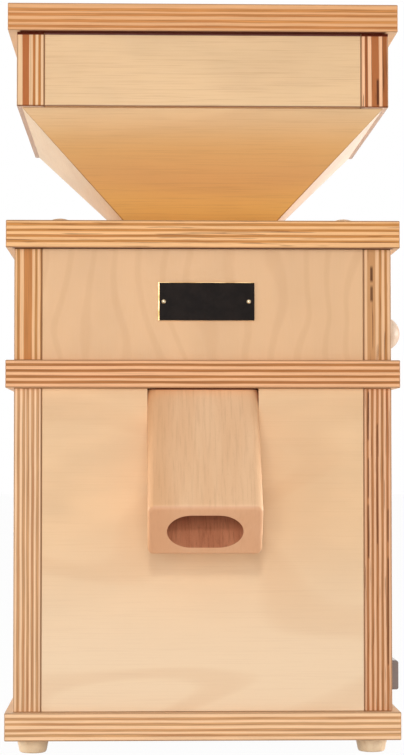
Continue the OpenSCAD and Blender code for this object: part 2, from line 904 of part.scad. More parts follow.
module motor_end_shield() {
    b = bearing_low;
    color("silver") placed() difference() {
        union() {
            translate([0, 0, end_z]) cylinder(r = shell_r, h = end_plate);
            translate([0, 0, end_z]) cylinder(r = b[1] / 2 + boss_wall, h = b[2] + 3);
            ring(shell_r, shell_r - shield_wall, shell_z - end_z, end_z);
            tie_ears(end_z, shell_z - end_z);
        }
        translate([0, 0, b[3]]) cylinder(d = b[1] + 2 * fit, h = b[2] + cut);
        translate([0, 0, end_z - cut]) cylinder(d = b[0] + ring_wall, h = end_plate + 2 * cut);
        tie_holes(end_z, shell_z - end_z);
        // Air holes round the bearing
        around([0 : 45 : 315], end_hole_r) translate([0, 0, end_z - cut])
            cylinder(d = end_hole_d, h = end_plate + 2 * cut);
    }
}

module stator_core() {
    color("#7a7a80") placed()
        ring(shell_r - motor_wall - fit / 2, rotor_d / 2 + air_gap, core_h, core_z);
}

// Both ends of the stator's copper coils, bound into rings
module windings() {
    r_in = rotor_d / 2 + 2;
    color("#b5642a") placed() for (z = [core_z - coil_h, core_z + core_h])
        translate([0, 0, z]) rotate_extrude() translate([(r_in + coil_r) / 2, coil_h / 2])
            rounded(coil_r - r_in, coil_h, coil_round);
}

module tie_bolts() {
    color("silver") placed() at_tie_bolts() translate([0, 0, end_z - bolt_head]) union() {
        cylinder(d = tie_bolt_d * 1.75, h = bolt_head);
        cylinder(d = tie_bolt_d, h = bolt_head + flange_z - end_z + flange_t / 2);
    }
}

module motor_bolts() {
    color("silver") placed() at_motor_bolts() translate([0, 0, upper_z])
        screw(motor_bolt_d, board_t + flange_t);
}

module bearing_outer_rings() {
    color("lightgray") placed() for (b = bearings)
        ring(b[1] / 2, b[0] / 2 + ring_wall + thin, b[2], b[3]);
}

module bearing_inner_rings() {
    color("lightgray") placed() for (b = bearings)
        ring(b[0] / 2 + ring_wall, b[0] / 2 + run, b[2], b[3]);
}

module rotor_shaft() {
    low = end_z - fan_drop - fan_h;
    between = bearing_low[3] + bearing_low[2];
    color("gray") placed() union() {
        translate([0, 0, low]) cylinder(d = shaft_end_d, h = between + shoulder - low);
        translate([0, 0, between]) cylinder(d = shaft_d + shoulder, h = bearing_up[3] - between);
        translate([0, 0, bearing_up[3] - cut])
            cylinder(d = shaft_d, h = hub_z - shoulder - bearing_up[3] + cut);
        translate([0, 0, hub_z - hub_t]) cylinder(d = shaft_end_d, h = 2 * hub_t);
        translate([0, 0, runner_z - cut]) cylinder(d = thread_d, h = shaft_top - runner_z + cut);
    }
}

module rotor_core() {
    color("#8a8a90") placed() difference() {
        union() {
            translate([0, 0, core_z]) cylinder(d = rotor_d, h = core_h);
            translate([0, 0, core_z - core_end])
                cylinder(d = rotor_d - 8, h = core_h + 2 * core_end);
        }
        translate([0, 0, core_z - core_end - cut])
            cylinder(d = shaft_d + shoulder + 2 * run, h = core_h + 2 * (core_end + cut));
    }
}

module cooling_fan() {
    z = end_z - fan_drop - fan_h;
    hub = shaft_end_d / 2 + 4;
    color("#2c2c30") placed() difference() {
        union() {
            translate([0, 0, z]) cylinder(r = hub, h = fan_h);
            translate([0, 0, z + fan_h - fan_plate]) cylinder(d = fan_d, h = fan_plate);
            for (i = [0 : fan_blades - 1]) rotate([0, 0, i * 360 / fan_blades])
                translate([hub - cut, -fan_blade_t / 2, z])
                    cube([fan_d / 2 - hub, fan_blade_t, fan_h - fan_plate / 2]);
        }
        translate([0, 0, z - cut]) cylinder(d = shaft_end_d + 2 * run, h = fan_h + 2 * cut);
    }
}

// ---- Capacitor and leads ----

module capacitor() {
    color("whitesmoke") placed() translate([cap_x, cap_y, cap_z]) union() {
        cylinder(d = cap_d, h = cap_l);
        for (s = [-1, 1]) translate([s * tag_x - tag_t / 2, -tag_w / 2, cap_l - cut])
            cube([tag_t, tag_w, tag_h + cut]);
    }
}

// A strap around the capacitor, with a tab screwed to the left panel
module capacitor_clamp() {
    r = cap_d / 2 + fit;
    color("silver") placed() difference() {
        union() {
            translate([cap_x, cap_y, clamp_z]) cylinder(r = r + clamp_t, h = clamp_w);
            translate([-inner, cap_y - clamp_tab, clamp_z]) cube([clamp_t, clamp_tab, clamp_w]);
            translate([-inner, cap_y - clamp_t / 2, clamp_z])
                cube([cap_x + inner, clamp_t, clamp_w]);
        }
        translate([cap_x, cap_y, clamp_z - cut]) cylinder(r = r, h = clamp_w + 2 * cut);
        clamp_screw_place() screw_hole(short_screw_d, short_screw_l);
    }
}

// A lead of one wire, swept along hand-set points that a smooth curve joins
function curve_at(p, i, t) =
    let (a = p[max(i - 1, 0)], b = p[i], c = p[i + 1], d = p[min(i + 2, len(p) - 1)])
    0.5 * (2 * b + (c - a) * t + (2 * a - 5 * b + 4 * c - d) * t * t
        + (3 * b - a - 3 * c + d) * t * t * t);
function curve(p, steps) = [
    for (i = [0 : len(p) - 2], k = [0 : steps - 1]) curve_at(p, i, k / steps), p[len(p) - 1]];

function unit(v) = v / norm(v);
module sweep(path, r, sides) {
    n = len(path);
    rings = [for (i = [0 : n - 1])
        let (
            way = unit(path[min(i + 1, n - 1)] - path[max(i - 1, 0)]),
            side = unit(cross(way, [0.3, 0.2, 0.93])),
            up = cross(side, way))
        for (k = [0 : sides - 1])
            let (a = 360 * k / sides) path[i] + r * (cos(a) * side + sin(a) * up)];
    walls = [for (i = [0 : n - 2], k = [0 : sides - 1])
        let (a = i * sides + k, b = i * sides + (k + 1) % sides)
        [a, b, b + sides, a + sides]];
    ends = [[for (k = [sides - 1 : -1 : 0]) k], [for (k = [0 : sides - 1]) (n - 1) * sides + k]];
    polyhedron(points = rings, faces = concat(walls, ends), convexity = 6);
}

// A point at a radius from the motor's axis and a distance to one side, turned round the axis
function turned(r, side, a, z) = [r * cos(a) - side * sin(a), r * sin(a) + side * cos(a), z];

// Two leads from the switch and two from the capacitor, each to the motor's coils
module motor_leads() {
    sw = [half_w - switch_depth, -half_w + switch_back, lower_z + switch_up];
    cap = [cap_x, cap_y, cap_z + cap_l + tag_h];
    reach = coil_r + 2 * fit;
    color("#7a3a28") placed() for (s = [-1, 1]) {
        side = s * lead_half;
        into = [for (r = [shell_r + 2, reach]) turned(r, side, lead_angles[0], lead_z)];
        sweep(curve(concat([
            sw + [-2 * fit, s * tag_x, 0],
            sw + [-1, s * tag_x, 0],
            sw + [-3, s * tag_x, 0],
            [lead_x, sw[1] + 3 * lead_half + side, (sw[2] + shell_z) / 2],
            [lead_x, side - shell_r / 2, shell_z + motor_l / 3],
            [lead_x, side - shell_r / 4, shell_top - motor_l / 5],
            [lead_x - lead_half, side, lead_z - 2]], into), 4), lead_r, 8);
        sweep(curve(concat([
            cap + [s * tag_x, 0, 2 * fit],
            cap + [s * tag_x, 0, 2],
            cap + [s * tag_x, 0, 4]],
            [for (r = [shell_r + 10, shell_r, reach]) turned(r, side, lead_angles[1], lead_z)]),
            4), lead_r, 8);
    }
}

// ---- Mill head ----

module flour_chamber() {
    wall_r = chamber_r + chamber_wall;
    color("gainsboro") placed() difference() {
        union() {
            translate([0, 0, upper_z]) cylinder(r = wall_r, h = chamber_h);
            translate([-nose_w / 2, -nose_front, upper_z])
                cube([nose_w, nose_front - chamber_r + 4, chamber_h - cut]);
            at_lugs() translate([0, 0, upper_z]) cylinder(d = lug_d, h = chamber_floor);
        }
        translate([0, 0, upper_z + chamber_floor]) cylinder(r = chamber_r, h = chamber_h);
        translate([0, 0, upper_z - cut]) cylinder(r = boss_r + thin, h = chamber_h);
        // The outlet: a window in the wall, over the channel
        translate([-channel_w / 2, -nose_front + nose_roof, upper_z + chamber_floor])
            cube([channel_w, nose_front - nose_roof - chamber_r + 5,
                chamber_h - chamber_floor - nose_roof - cut]);
        flour_channel();
        lug_screw_places() screw_hole(short_screw_d, short_screw_l);
    }
}

// The disc that carries the lower stone, with sweeper blades at its rim
module runner_hub() {
    color("lightsteelblue") placed() difference() {
        union() {
            translate([0, 0, hub_z]) cylinder(r = stone_r - 1, h = hub_t);
            translate([0, 0, hub_z - hub_boss_h]) cylinder(d = hub_boss_d, h = hub_t);
            around([0, 120, 240], stone_r / 2)
                translate([0, -sweeper_t / 2, upper_z + chamber_floor + thin])
                    cube([chamber_r - thin - stone_r / 2, sweeper_t, hub_t]);
        }
        translate([0, 0, hub_z - hub_t]) cylinder(d = shaft_end_d + 2 * run, h = 3 * hub_t);
    }
}

module runner_stone() {
    color("#d8d4cc") placed() ring(stone_r, stone_eye_d / 2, stone_t, runner_z);
}

module shaft_nut() {
    color("silver") placed() translate([0, 0, runner_z]) difference() {
        union() {
            cylinder(d = washer_d, h = washer_t);
            hex(nut_af, washer_t + nut_h);
        }
        translate([0, 0, -cut])
            cylinder(d = thread_d + 2 * run, h = washer_t + nut_h + 2 * cut);
    }
}

module fixed_stone() {
    color("#d8d4cc") placed() ring(stone_r, stone_eye_d / 2, stone_t, fixed_z);
}

// The cup over the fixed stone: its rim is the male thread of the adjustment
module stone_carrier() {
    color("gainsboro") placed() difference() {
        translate([0, 0, skirt_z]) cylinder(r = carrier_r, h = carrier_z - skirt_z + carrier_t);
        translate([0, 0, skirt_z - cut])
            cylinder(r = stone_r + stone_seat, h = carrier_z - skirt_z + cut);
        translate([0, 0, carrier_z - cut]) cylinder(d = stone_eye_d + 3, h = carrier_t + 2 * cut);
        at_pins() translate([0, 0, carrier_z - cut])
            cylinder(d = guide_pin_d + 2 * run, h = carrier_t + 2 * cut);
    }
}

module at_lever() {
    translate([0, 0, lever_z]) rotate([0, 0, lever_swing]) rotate([0, 90, 0]) children();
}

// The nut ring of the adjustment, with the lever rod that turns it
module adjusting_ring() {
    rod_in = carrier_r + 1.5;
    color("silver") placed() union() {
        ring(ring_r, carrier_r + run, ring_h, rim_z);
        at_lever() translate([0, 0, rod_in]) cylinder(d = lever_d, h = lever_r - rod_in);
    }
}

module lever_knob() {
    color("#c89058") placed() at_lever() difference() {
        translate([0, 0, lever_r]) sphere(d = knob_d);
        translate([0, 0, lever_r - knob_d]) cylinder(d = lever_d + 2 * fit, h = knob_d + fit);
    }
}

// Coil springs that press the fixed stone down, one round each guide pin
module pressure_springs() {
    z0 = carrier_z + carrier_t + spring_wire / 2 + fit;
    z1 = top_z - spring_wire / 2 - fit;
    steps = spring_turns * 14;
    color("gray") placed() at_pins()
        sweep([for (i = [0 : steps]) let (a = 360 * spring_turns * i / steps)
            [spring_r * cos(a), spring_r * sin(a), z0 + (z1 - z0) * i / steps]],
            spring_wire / 2, 8);
}

// The tube from the hopper to the stones' eye, and the pins that guide the stone carrier
module feed_tube() {
    low = carrier_z + carrier_t / 2;
    color("gainsboro") placed() union() {
        ring(feed_r, feed_d / 2, funnel_z - low, low);
        at_pins() translate([0, 0, carrier_z + cut])
            cylinder(d = guide_pin_d, h = top_z + pin_sink - carrier_z - cut);
    }
}

base_board();
feet();
short_screws();
long_screws();
lower_left_panel();
lower_right_panel();
lower_front_panel();
lower_back_panel();
middle_board();
dowels();
upper_left_panel();
upper_right_panel();
upper_front_panel();
upper_back_panel();
corner_blocks();
top_board();
top_screws();
cover_plugs();
hopper_left_board();
hopper_right_board();
hopper_front_board();
hopper_back_board();
funnel_front_board();
funnel_right_board();
funnel_back_board();
funnel_left_board();
lid_board();
lid_cleat();
spout();
badge_plate();
badge_nails();
switch_housing();
switch_rocker();
cable_gland();
gland_nut();
motor_flange();
motor_shell();
motor_end_shield();
stator_core();
windings();
tie_bolts();
motor_bolts();
bearing_outer_rings();
capacitor();
capacitor_clamp();
motor_leads();
rotor_shaft();
rotor_core();
bearing_inner_rings();
cooling_fan();
runner_hub();
runner_stone();
shaft_nut();
flour_chamber();
fixed_stone();
stone_carrier();
adjusting_ring();
lever_knob();
pressure_springs();
feed_tube();
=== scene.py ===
import json
import math

import bpy
from mathutils import Euler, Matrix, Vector


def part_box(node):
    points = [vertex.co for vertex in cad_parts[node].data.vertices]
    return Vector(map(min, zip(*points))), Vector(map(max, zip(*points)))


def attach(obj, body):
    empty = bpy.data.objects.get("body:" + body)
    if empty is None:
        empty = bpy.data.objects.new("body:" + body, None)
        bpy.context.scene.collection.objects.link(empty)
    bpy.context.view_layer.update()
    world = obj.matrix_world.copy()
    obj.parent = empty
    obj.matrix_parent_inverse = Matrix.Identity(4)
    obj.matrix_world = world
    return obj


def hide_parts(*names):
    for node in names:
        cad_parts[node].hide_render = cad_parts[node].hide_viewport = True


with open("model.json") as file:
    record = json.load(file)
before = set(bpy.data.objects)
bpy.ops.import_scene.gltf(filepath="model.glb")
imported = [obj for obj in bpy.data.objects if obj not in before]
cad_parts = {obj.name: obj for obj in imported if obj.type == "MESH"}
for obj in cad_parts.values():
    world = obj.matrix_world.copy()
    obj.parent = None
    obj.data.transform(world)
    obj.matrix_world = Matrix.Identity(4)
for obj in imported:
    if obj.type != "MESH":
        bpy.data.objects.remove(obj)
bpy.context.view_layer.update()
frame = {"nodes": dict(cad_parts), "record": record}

weldWidth = 0.00001  # points nearer than this, in metres, are one
millAxis = sum(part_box("rotor_shaft"), Vector()) / 2  # the upright axis of motor and stones
for loaded in bpy.context.selected_objects:
    loaded.select_set(False)
print("frame loaded")


# Colours and nodes

def linear(hexColour, level=1.0):
    parts = [int(hexColour[i:i + 2], 16) / 255 for i in (1, 3, 5)]
    return tuple(level * (c / 12.92 if c <= 0.04045 else ((c + 0.055) / 1.055) ** 2.4) for c in parts) + (1,)


def addNode(tree, kind, *inputs, **settings):
    # adds a node, sets it up and fills its inputs in order, with values or with other nodes' outputs
    made = tree.nodes.new("ShaderNode" + kind)
    for key, value in settings.items():
        setattr(made, key, value)
    for socket, value in zip([s for s in made.inputs if s.enabled], inputs):
        if isinstance(value, bpy.types.NodeSocket):
            tree.links.new(value, socket)
        elif value is not None:
            socket.default_value = value
    shown = [s for s in made.outputs if s.enabled]
    return shown[0] if len(shown) == 1 else made.outputs


def newMaterial(name, roughness, metallic=0, ior=1.5, coat=0, coatRoughness=0.1):
    made = bpy.data.materials.new(name)
    made.use_nodes = True
    shader = made.node_tree.nodes["Principled BSDF"]
    shader.inputs["Roughness"].default_value = roughness
    shader.inputs["Metallic"].default_value = metallic
    shader.inputs["IOR"].default_value = ior
    if coat:
        shader.inputs["Coat Weight"].default_value = coat
        shader.inputs["Coat Roughness"].default_value = coatRoughness
    return made, made.node_tree, shader


smooth = {"interpolation_type": "SMOOTHSTEP"}


def paint(tree, colour, *coats):
    # lays each coat, a share and a colour, over what is below it
    for share, tint in coats:
        colour = addNode(tree, "Mix", share, colour, tint, data_type="RGBA")
    return colour


def blotches(tree, point, size, detail=2.0, rough=0.5, distortion=0.0):
    # soft irregular pattern; point in mm, and the size of its patches along each axis in mm
    squeezed = addNode(tree, "VectorMath", point, size, operation="DIVIDE")
    return addNode(tree, "TexNoise", squeezed, 1.0, detail, rough, 2.0, distortion)["Fac"]


def finishSurface(tree, shader, colour, roughness=None, height=None, bump=0.1):
    tree.links.new(colour, shader.inputs["Base Color"])
    if roughness is not None:
        tree.links.new(roughness, shader.inputs["Roughness"])
    if height is not None:  # height in mm
        tree.links.new(addNode(tree, "Bump", bump, 0.001, None, height), shader.inputs["Normal"])


def localPoint(tree, origin=(0, 0, 0), turn=(0, 0, 0)):
    # the point in mm from the origin, and the way it faces, both along axes turned by so many degrees
    coords = addNode(tree, "TexCoord")
    angles = [math.radians(a) for a in turn]
    point = addNode(tree, "Mapping", coords["Object"], origin, angles, (0.001, 0.001, 0.001), vector_type="TEXTURE")
    facing = addNode(tree, "Mapping", coords["Normal"], (0, 0, 0), angles, (1, 1, 1), vector_type="TEXTURE")
    return point, facing


# Camera: a metre in front, left of the middle, looking slightly up

cameraSettings = {"place": (-0.0334, -0.9898, 0.1285), "pitchUp": 2.083, "turnRight": 1.586, "lens": 101.67}
bpy.ops.object.camera_add(
    location=cameraSettings["place"],
    rotation=(math.radians(90 + cameraSettings["pitchUp"]), 0, -math.radians(cameraSettings["turnRight"])))
camera = bpy.context.object
camera.data.sensor_width = 36
camera.data.lens = cameraSettings["lens"]
camera.data.clip_start = 0.01
camera.data.clip_end = 50
bpy.context.scene.camera = camera
bpy.context.scene.view_settings.view_transform = "Standard"
print("camera placed")


# Studio: pale floor, white surroundings for what the camera and gloss see

studio = {
    "ambient": 0.31, "ambientColour": "#fdfdff", "floorColour": "#e9e7e4", "floorDapple": "#f1efec", "floorWhite": 0.97,
    "floorSize": 12, "dappleSize": (90, 90, 90), "aimHeight": 0.165,
    "keyDistance": 1.6, "keyHeight": 19, "keyAside": -0.04, "keyPower": 3.95, "keySize": 0.16,
    "lamps": {
        "left fill": {"place": (-1.3, -0.9, 0.75), "power": 1.65, "wide": 1.1, "tall": 1.1},
        "low fill": {"place": (-0.1, -1.0, 0.18), "power": 2.8, "wide": 0.5, "tall": 0.35},
        "left side": {"place": (-1.1, 0.25, 0.19), "power": 7.2, "wide": 0.5, "tall": 0.37},
        "right side": {"place": (1.1, 0.25, 0.19), "power": 10.2, "wide": 0.5, "tall": 0.37}}}


def whiteShare(tree):
    path = addNode(tree, "LightPath")
    seen = addNode(tree, "Math", path["Is Camera Ray"], path["Is Glossy Ray"], operation="MAXIMUM")
    return addNode(tree, "Math", seen, path["Is Transmission Ray"], operation="MAXIMUM")


def buildStudio():
    world = bpy.data.worlds.new("studio")
    bpy.context.scene.world = world
    world.use_nodes = True
    tree = world.node_tree
    out = tree.nodes["World Output"]
    soft = tree.nodes["Background"]
    soft.inputs["Color"].default_value = linear(studio["ambientColour"])
    soft.inputs["Strength"].default_value = studio["ambient"]
    white = addNode(tree, "Background", (1, 1, 1, 1), 1.0)
    tree.links.new(addNode(tree, "MixShader", whiteShare(tree), soft.outputs[0], white), out.inputs["Surface"])

    bpy.ops.mesh.primitive_plane_add(size=studio["floorSize"], location=(0, 0, 0))
    floor = bpy.context.object
    floor.name = "studio_floor"
    paper, tree, shader = newMaterial("matt white paper", 0.9)
    dapple = blotches(tree, localPoint(tree)[0], studio["dappleSize"])
    finishSurface(tree, shader, paint(tree, linear(studio["floorColour"]), (dapple, linear(studio["floorDapple"]))))
    shader.inputs["Specular IOR Level"].default_value = 0
    glow = addNode(tree, "Emission", (1, 1, 1, 1), 1.0)
    share = addNode(tree, "Math", whiteShare(tree), studio["floorWhite"], operation="MULTIPLY")
    mixed = addNode(tree, "MixShader", share, shader.outputs[0], glow)
    tree.links.new(mixed, tree.nodes["Material Output"].inputs["Surface"])
    floor.data.materials.append(paper)

    target = Vector((millAxis.x, millAxis.y, studio["aimHeight"]))
    height = math.radians(studio["keyHeight"])
    keyPlace = target + studio["keyDistance"] * Vector((studio["keyAside"], -math.cos(height), math.sin(height)))
    key = {"place": keyPlace, "power": studio["keyPower"], "wide": studio["keySize"], "tall": studio["keySize"]}
    for name, settings in {"key": key, **studio["lamps"]}.items():
        bpy.ops.object.light_add(type="AREA", location=settings["place"])
        lamp = bpy.context.object
        lamp.name = name
        lamp.data.shape = "RECTANGLE"
        lamp.data.energy = settings["power"]
        lamp.data.size = settings["wide"]
        lamp.data.size_y = settings["tall"]
        lamp.rotation_euler = (target - lamp.location).to_track_quat("-Z", "Y").to_euler()


buildStudio()
print("studio built")


# Birch plywood: sanded and oiled face veneers, cross-banded plies on the edges

plyDefaults = {
    "turn": (0, 0, 0),          # turns the board's own axes: grain along x, thickness along z
    # dark plies: middle above the inner face, width, both in mm, and how red the ply is
    "plies": ((2.25, 1.25, 0.1), (4.75, 1.25, 0.1), (7.25, 1.25, 0.1), (9.75, 1.25, 0.1)),
    "light": "#f2c594", "dark": "#bd8352", "red": "#a85c33", "vary": 0.2, "lift": 1.05,
    "face": "#ebc59a", "figure": "#d9a878", "fibre": "#c08a5c",
    "figureSize": (170, 46, 60), "figureTurns": 4.0, "figureFrom": 0.0, "figureGap": 0, "figureDepth": 0.16,
    "mottle": 0.05, "fibreDepth": 0.2,
    "paintedLightFades": (),                # painted light on the face, paler or more orange bands for bounced light and shade: (axis, where it starts, where it ends, colour)
    "under": None,              # painted shade under the front edge, where the board overhangs the boards below: (from, to, depth)
    "shadowAndSeams": (),                # dark bands: painted shadow of the lid along the rim's top, and dark joints: (axis, where it starts, where it is full, how dark)
    "mitre": None,              # fine line along a funnel board's mitred ends: (left, right, height) at its top
    "sole": 0.0,                # how pale the end under an upright board is
    "gum": (),                  # dark gum marks: (middle above the inner face, from, to, width, how dark)
    "arris": 0.55, "streaks": 0.0, "gloss": 0.4, "seed": 0.0}
# sizes in mm along the grain, across it and through the board, then detail, roughness and distortion
plyPatterns = {
    "mottle": ((48, 22, 30),), "fibre": ((30, 0.5, 6), 3.0, 0.6), "wave": ((34, 34, 3), 1.0),
    "tone": ((60, 60, 2.3),), "streak": ((26, 26, 0.3), 3.0, 0.6), "lines": ((26, 26, 0.7), 1.0),
    "pores": ((3.0, 0.35, 0.35),)}
# the dark joint tone also paints shade under overhangs, along the hopper rim and at the top of the spout
plyTones = {"arris": "#8d5a35", "joint": "#5c1b03", "streak": "#75411f", "gum": "#4f240f", "sole": "#efd9c8"}


def plywood(name, **look):
    look = {**plyDefaults, **look}
    tones = {part: linear(tone) for part, tone in plyTones.items()}
    made, tree, shader = newMaterial(name, 0.46, ior=1.48)
    shader.inputs["Specular IOR Level"].default_value = look["gloss"]
    point, facing = localPoint(tree, look["origin"], look["turn"])
    along = addNode(tree, "SeparateXYZ", point)
    n = addNode(tree, "SeparateXYZ", facing)
    shift = [look["seed"] * step for step in (311, 173, 97)]
    shifted = addNode(tree, "VectorMath", point, shift, operation="ADD")

    # face veneer: the contour figure of a rotary cut, fibres along the grain, soft mottling
    rings = blotches(tree, shifted, look["figureSize"], 1.0, 0.4, 0.35)
    phase = addNode(tree, "Math", rings, look["figureTurns"], operation="MULTIPLY")
    if look["figureGap"]:  # rings side by side, this many mm apart
        rows = addNode(tree, "Math", along[1], look["figureGap"], operation="DIVIDE")
        phase = addNode(tree, "Math", phase, rows, operation="ADD")
    turned = addNode(tree, "Math", addNode(tree, "Math", phase, 2 * math.pi, operation="MULTIPLY"), operation="SINE")
    figure = addNode(tree, "MapRange", turned, look["figureFrom"], 1.0, 0.0, look["figureDepth"], **smooth)
    fibre = blotches(tree, shifted, *plyPatterns["fibre"])
    fibre = addNode(tree, "MapRange", fibre, 0.45, 0.8, 0.0, look["fibreDepth"], **smooth)
    mottle = addNode(tree, "MapRange", blotches(tree, shifted, *plyPatterns["mottle"]), 0.3, 0.7, **smooth)
    # painted light: bands on the face that stand in for bounced light and shade
    paintedLightFades = [(addNode(tree, "MapRange", along[axis], start, end, **smooth), linear(tint))
             for axis, start, end, tint in look["paintedLightFades"]]
    face = paint(tree, linear(look["face"], 1 + look["mottle"]), (mottle, linear(look["face"], 1 - look["mottle"])),
                 *paintedLightFades, (figure, linear(look["figure"])), (fibre, linear(look["fibre"])))

    # edges: plies seen end-on are dark and long ones are light; at the board's ends they change over
    wave = addNode(tree, "MapRange", blotches(tree, shifted, *plyPatterns["wave"]), 0.2, 0.8, -0.12, 0.12, **smooth)
    depth = addNode(tree, "Math", along[2], wave, operation="ADD")
    dark = redness = None
    for middle, width, red in look["plies"]:
        away = addNode(tree, "Math", addNode(tree, "Math", depth, middle, operation="SUBTRACT"), operation="ABSOLUTE")
        ply = addNode(tree, "MapRange", away, width / 2 + 0.22, width / 2 - 0.22, **smooth)
        dark = ply if dark is None else addNode(tree, "Math", dark, ply, operation="MAXIMUM")
        stained = addNode(tree, "Math", ply, red, operation="MULTIPLY")
        redness = stained if redness is None else addNode(tree, "Math", redness, stained, operation="MAXIMUM")
    endOn = addNode(tree, "Math", addNode(tree, "Math", n[0], operation="ABSOLUTE"), 0.6, operation="GREATER_THAN")
    dark = addNode(tree, "Math", addNode(tree, "Math", dark, endOn, operation="SUBTRACT"), operation="ABSOLUTE")
    tone = addNode(tree, "MapRange", blotches(tree, shifted, *plyPatterns["tone"]), 0.5, 0.75, 0.0, 0.3, **smooth)
    streak = blotches(tree, shifted, *plyPatterns["streak"])
    patchy = addNode(tree, "MapRange", streak, 0.35, 0.7, **smooth)
    vary = look["vary"]
    lift = look["lift"]
    lightPly = paint(tree, linear(look["light"], lift + vary / 3), (patchy, linear(look["light"], lift - vary / 2)))
    darkPly = paint(tree, linear(look["dark"], 1 + vary), (patchy, linear(look["dark"], 1 - vary)),
                    (addNode(tree, "Math", redness, tone, operation="ADD"), linear(look["red"])))
    edge = paint(tree, lightPly, (dark, darkPly))
    if look["streaks"]:  # thin dark gum lines in the plies
        lines = blotches(tree, shifted, *plyPatterns["lines"])
        lines = addNode(tree, "MapRange", lines, 0.64, 0.69, 0.0, look["streaks"], **smooth)
        edge = paint(tree, edge, (lines, tones["streak"]))
    for middle, start, end, width, share in look["gum"]:
        away = addNode(tree, "Math", addNode(tree, "Math", depth, middle, operation="SUBTRACT"), operation="ABSOLUTE")
        mark = addNode(tree, "MapRange", away, width / 2 + 0.15, width / 2 - 0.15, **smooth)
        ragged = addNode(tree, "MapRange", streak, 0.3, 0.6, 0.6 * share, share, **smooth)
        begins = addNode(tree, "MapRange", along[0], start - 1, start + 1, **smooth)
        ends = addNode(tree, "MapRange", along[0], end + 1, end - 1, **smooth)
        for limit in (begins, ends, ragged):
            mark = addNode(tree, "Math", mark, limit, operation="MULTIPLY")
        edge = paint(tree, edge, (mark, tones["gum"]))

    # the arris is rounded by sanding and darker, and so are the joints between boards
    fromSkin = addNode(tree, "Math", look["thick"], along[2], operation="SUBTRACT")
    rim = addNode(tree, "Math", along[2], fromSkin, operation="MINIMUM")
    edge = paint(tree, edge, (addNode(tree, "MapRange", rim, 0.75, 0.35, 0.0, look["arris"], **smooth), tones["arris"]))
    ways = [addNode(tree, "Math", n[axis], operation="ABSOLUTE") for axis in range(3)]
    biggest = addNode(tree, "Math", ways[0], ways[1], operation="MAXIMUM")
    biggest = addNode(tree, "Math", ways[2], biggest, operation="MAXIMUM")
    colour = paint(tree, edge, (addNode(tree, "MapRange", ways[2], 0.62, 0.74, **smooth), face),
                   (addNode(tree, "MapRange", biggest, 0.99, 0.93, 0.0, look["arris"], **smooth), tones["arris"]))
    if look["mitre"]:
        left, right, tall = look["mitre"]
        fromLeft = addNode(tree, "Math", along[0], left, operation="SUBTRACT")
        fromRight = addNode(tree, "Math", right, along[0], operation="SUBTRACT")
        nearest = addNode(tree, "Math", fromLeft, fromRight, operation="MINIMUM")
        inward = addNode(tree, "Math", tall, along[1], operation="SUBTRACT")
        inward = addNode(tree, "Math", inward, math.sqrt(2), operation="DIVIDE")
        fromMitre = addNode(tree, "Math", nearest, inward, operation="SUBTRACT")
        fine = addNode(tree, "MapRange", fromMitre, 0.9, 0.3, 0.0, 0.7, **smooth)
        colour = paint(tree, colour, (fine, tones["arris"]))
    if look["shadowAndSeams"]:  # they show on the front only
        outwards = addNode(tree, "SeparateXYZ", addNode(tree, "TexCoord")["Normal"])
        frontal = addNode(tree, "MapRange", outwards[1], -0.5, -0.8, **smooth)
    for axis, start, full, share in look["shadowAndSeams"]:
        shadowAndSeam = addNode(tree, "MapRange", along[axis], start, full, 0.0, share, **smooth)
        shadowAndSeam = addNode(tree, "Math", shadowAndSeam, frontal, operation="MULTIPLY")
        colour = paint(tree, colour, (shadowAndSeam, tones["joint"]))
    sole = addNode(tree, "MapRange", n[0], -0.9, -0.97, 0.0, look["sole"], **smooth)
    colour = paint(tree, colour, (sole, tones["sole"]))
    # painted shade: the underside strip in front of the boards below is darkened as if in shadow
    if look["under"]:
        left, right, deep = look["under"]
        shadeStrip = addNode(tree, "Math", along[1], deep, operation="LESS_THAN")
        begins = addNode(tree, "MapRange", along[0], left - 1.2, left, **smooth)
        ends = addNode(tree, "MapRange", along[0], right + 1.2, right, **smooth)
        below = addNode(tree, "MapRange", n[2], -0.9, -0.97, **smooth)
        for limit in (begins, ends, below):
            shadeStrip = addNode(tree, "Math", shadeStrip, limit, operation="MULTIPLY")
        colour = paint(tree, colour, (shadeStrip, tones["joint"]))
    pores = blotches(tree, shifted, *plyPatterns["pores"])
    rough = addNode(tree, "MapRange", pores, 0.3, 0.7, 0.42, 0.56, **smooth)
    finishSurface(tree, shader, colour, rough, addNode(tree, "Math", pores, 0.03, operation="MULTIPLY"), 0.5)
    return made


# Boards: each keeps its own axes for the grain, with thickness from its inner or lower face outwards

def boardPlace(node, turn):
    # the corner the board's own axes start from, and its thickness in mm
    turned = Euler([math.radians(a) for a in turn]).to_matrix()
    points = [turned.transposed() @ v.co for v in frame["nodes"][node].data.vertices]
    corner = Vector([min(p[i] for p in points) for i in range(3)])
    skin = max(p.z for p in points)
    outer = [p for p in points if skin - p.z < weldWidth]
    top = max(p.y for p in outer)
    ends = [1000 * (p.x - corner.x) for p in outer if top - p.y < weldWidth]
    return {"origin": turned @ corner, "thick": 1000 * (skin - corner.z),
            "ends": (min(ends), max(ends), 1000 * (top - corner.y))}


flat = (0, 0, 0)            # grain along X, thickness up
front = (90, 0, 0)          # grain along X, thickness towards the front
back = (90, 0, 180)         # the same, towards the back
leftSide = (0, -90, 0)      # grain upright, thickness to the left
rightSide = (0, -90, 180)   # grain upright, thickness to the right

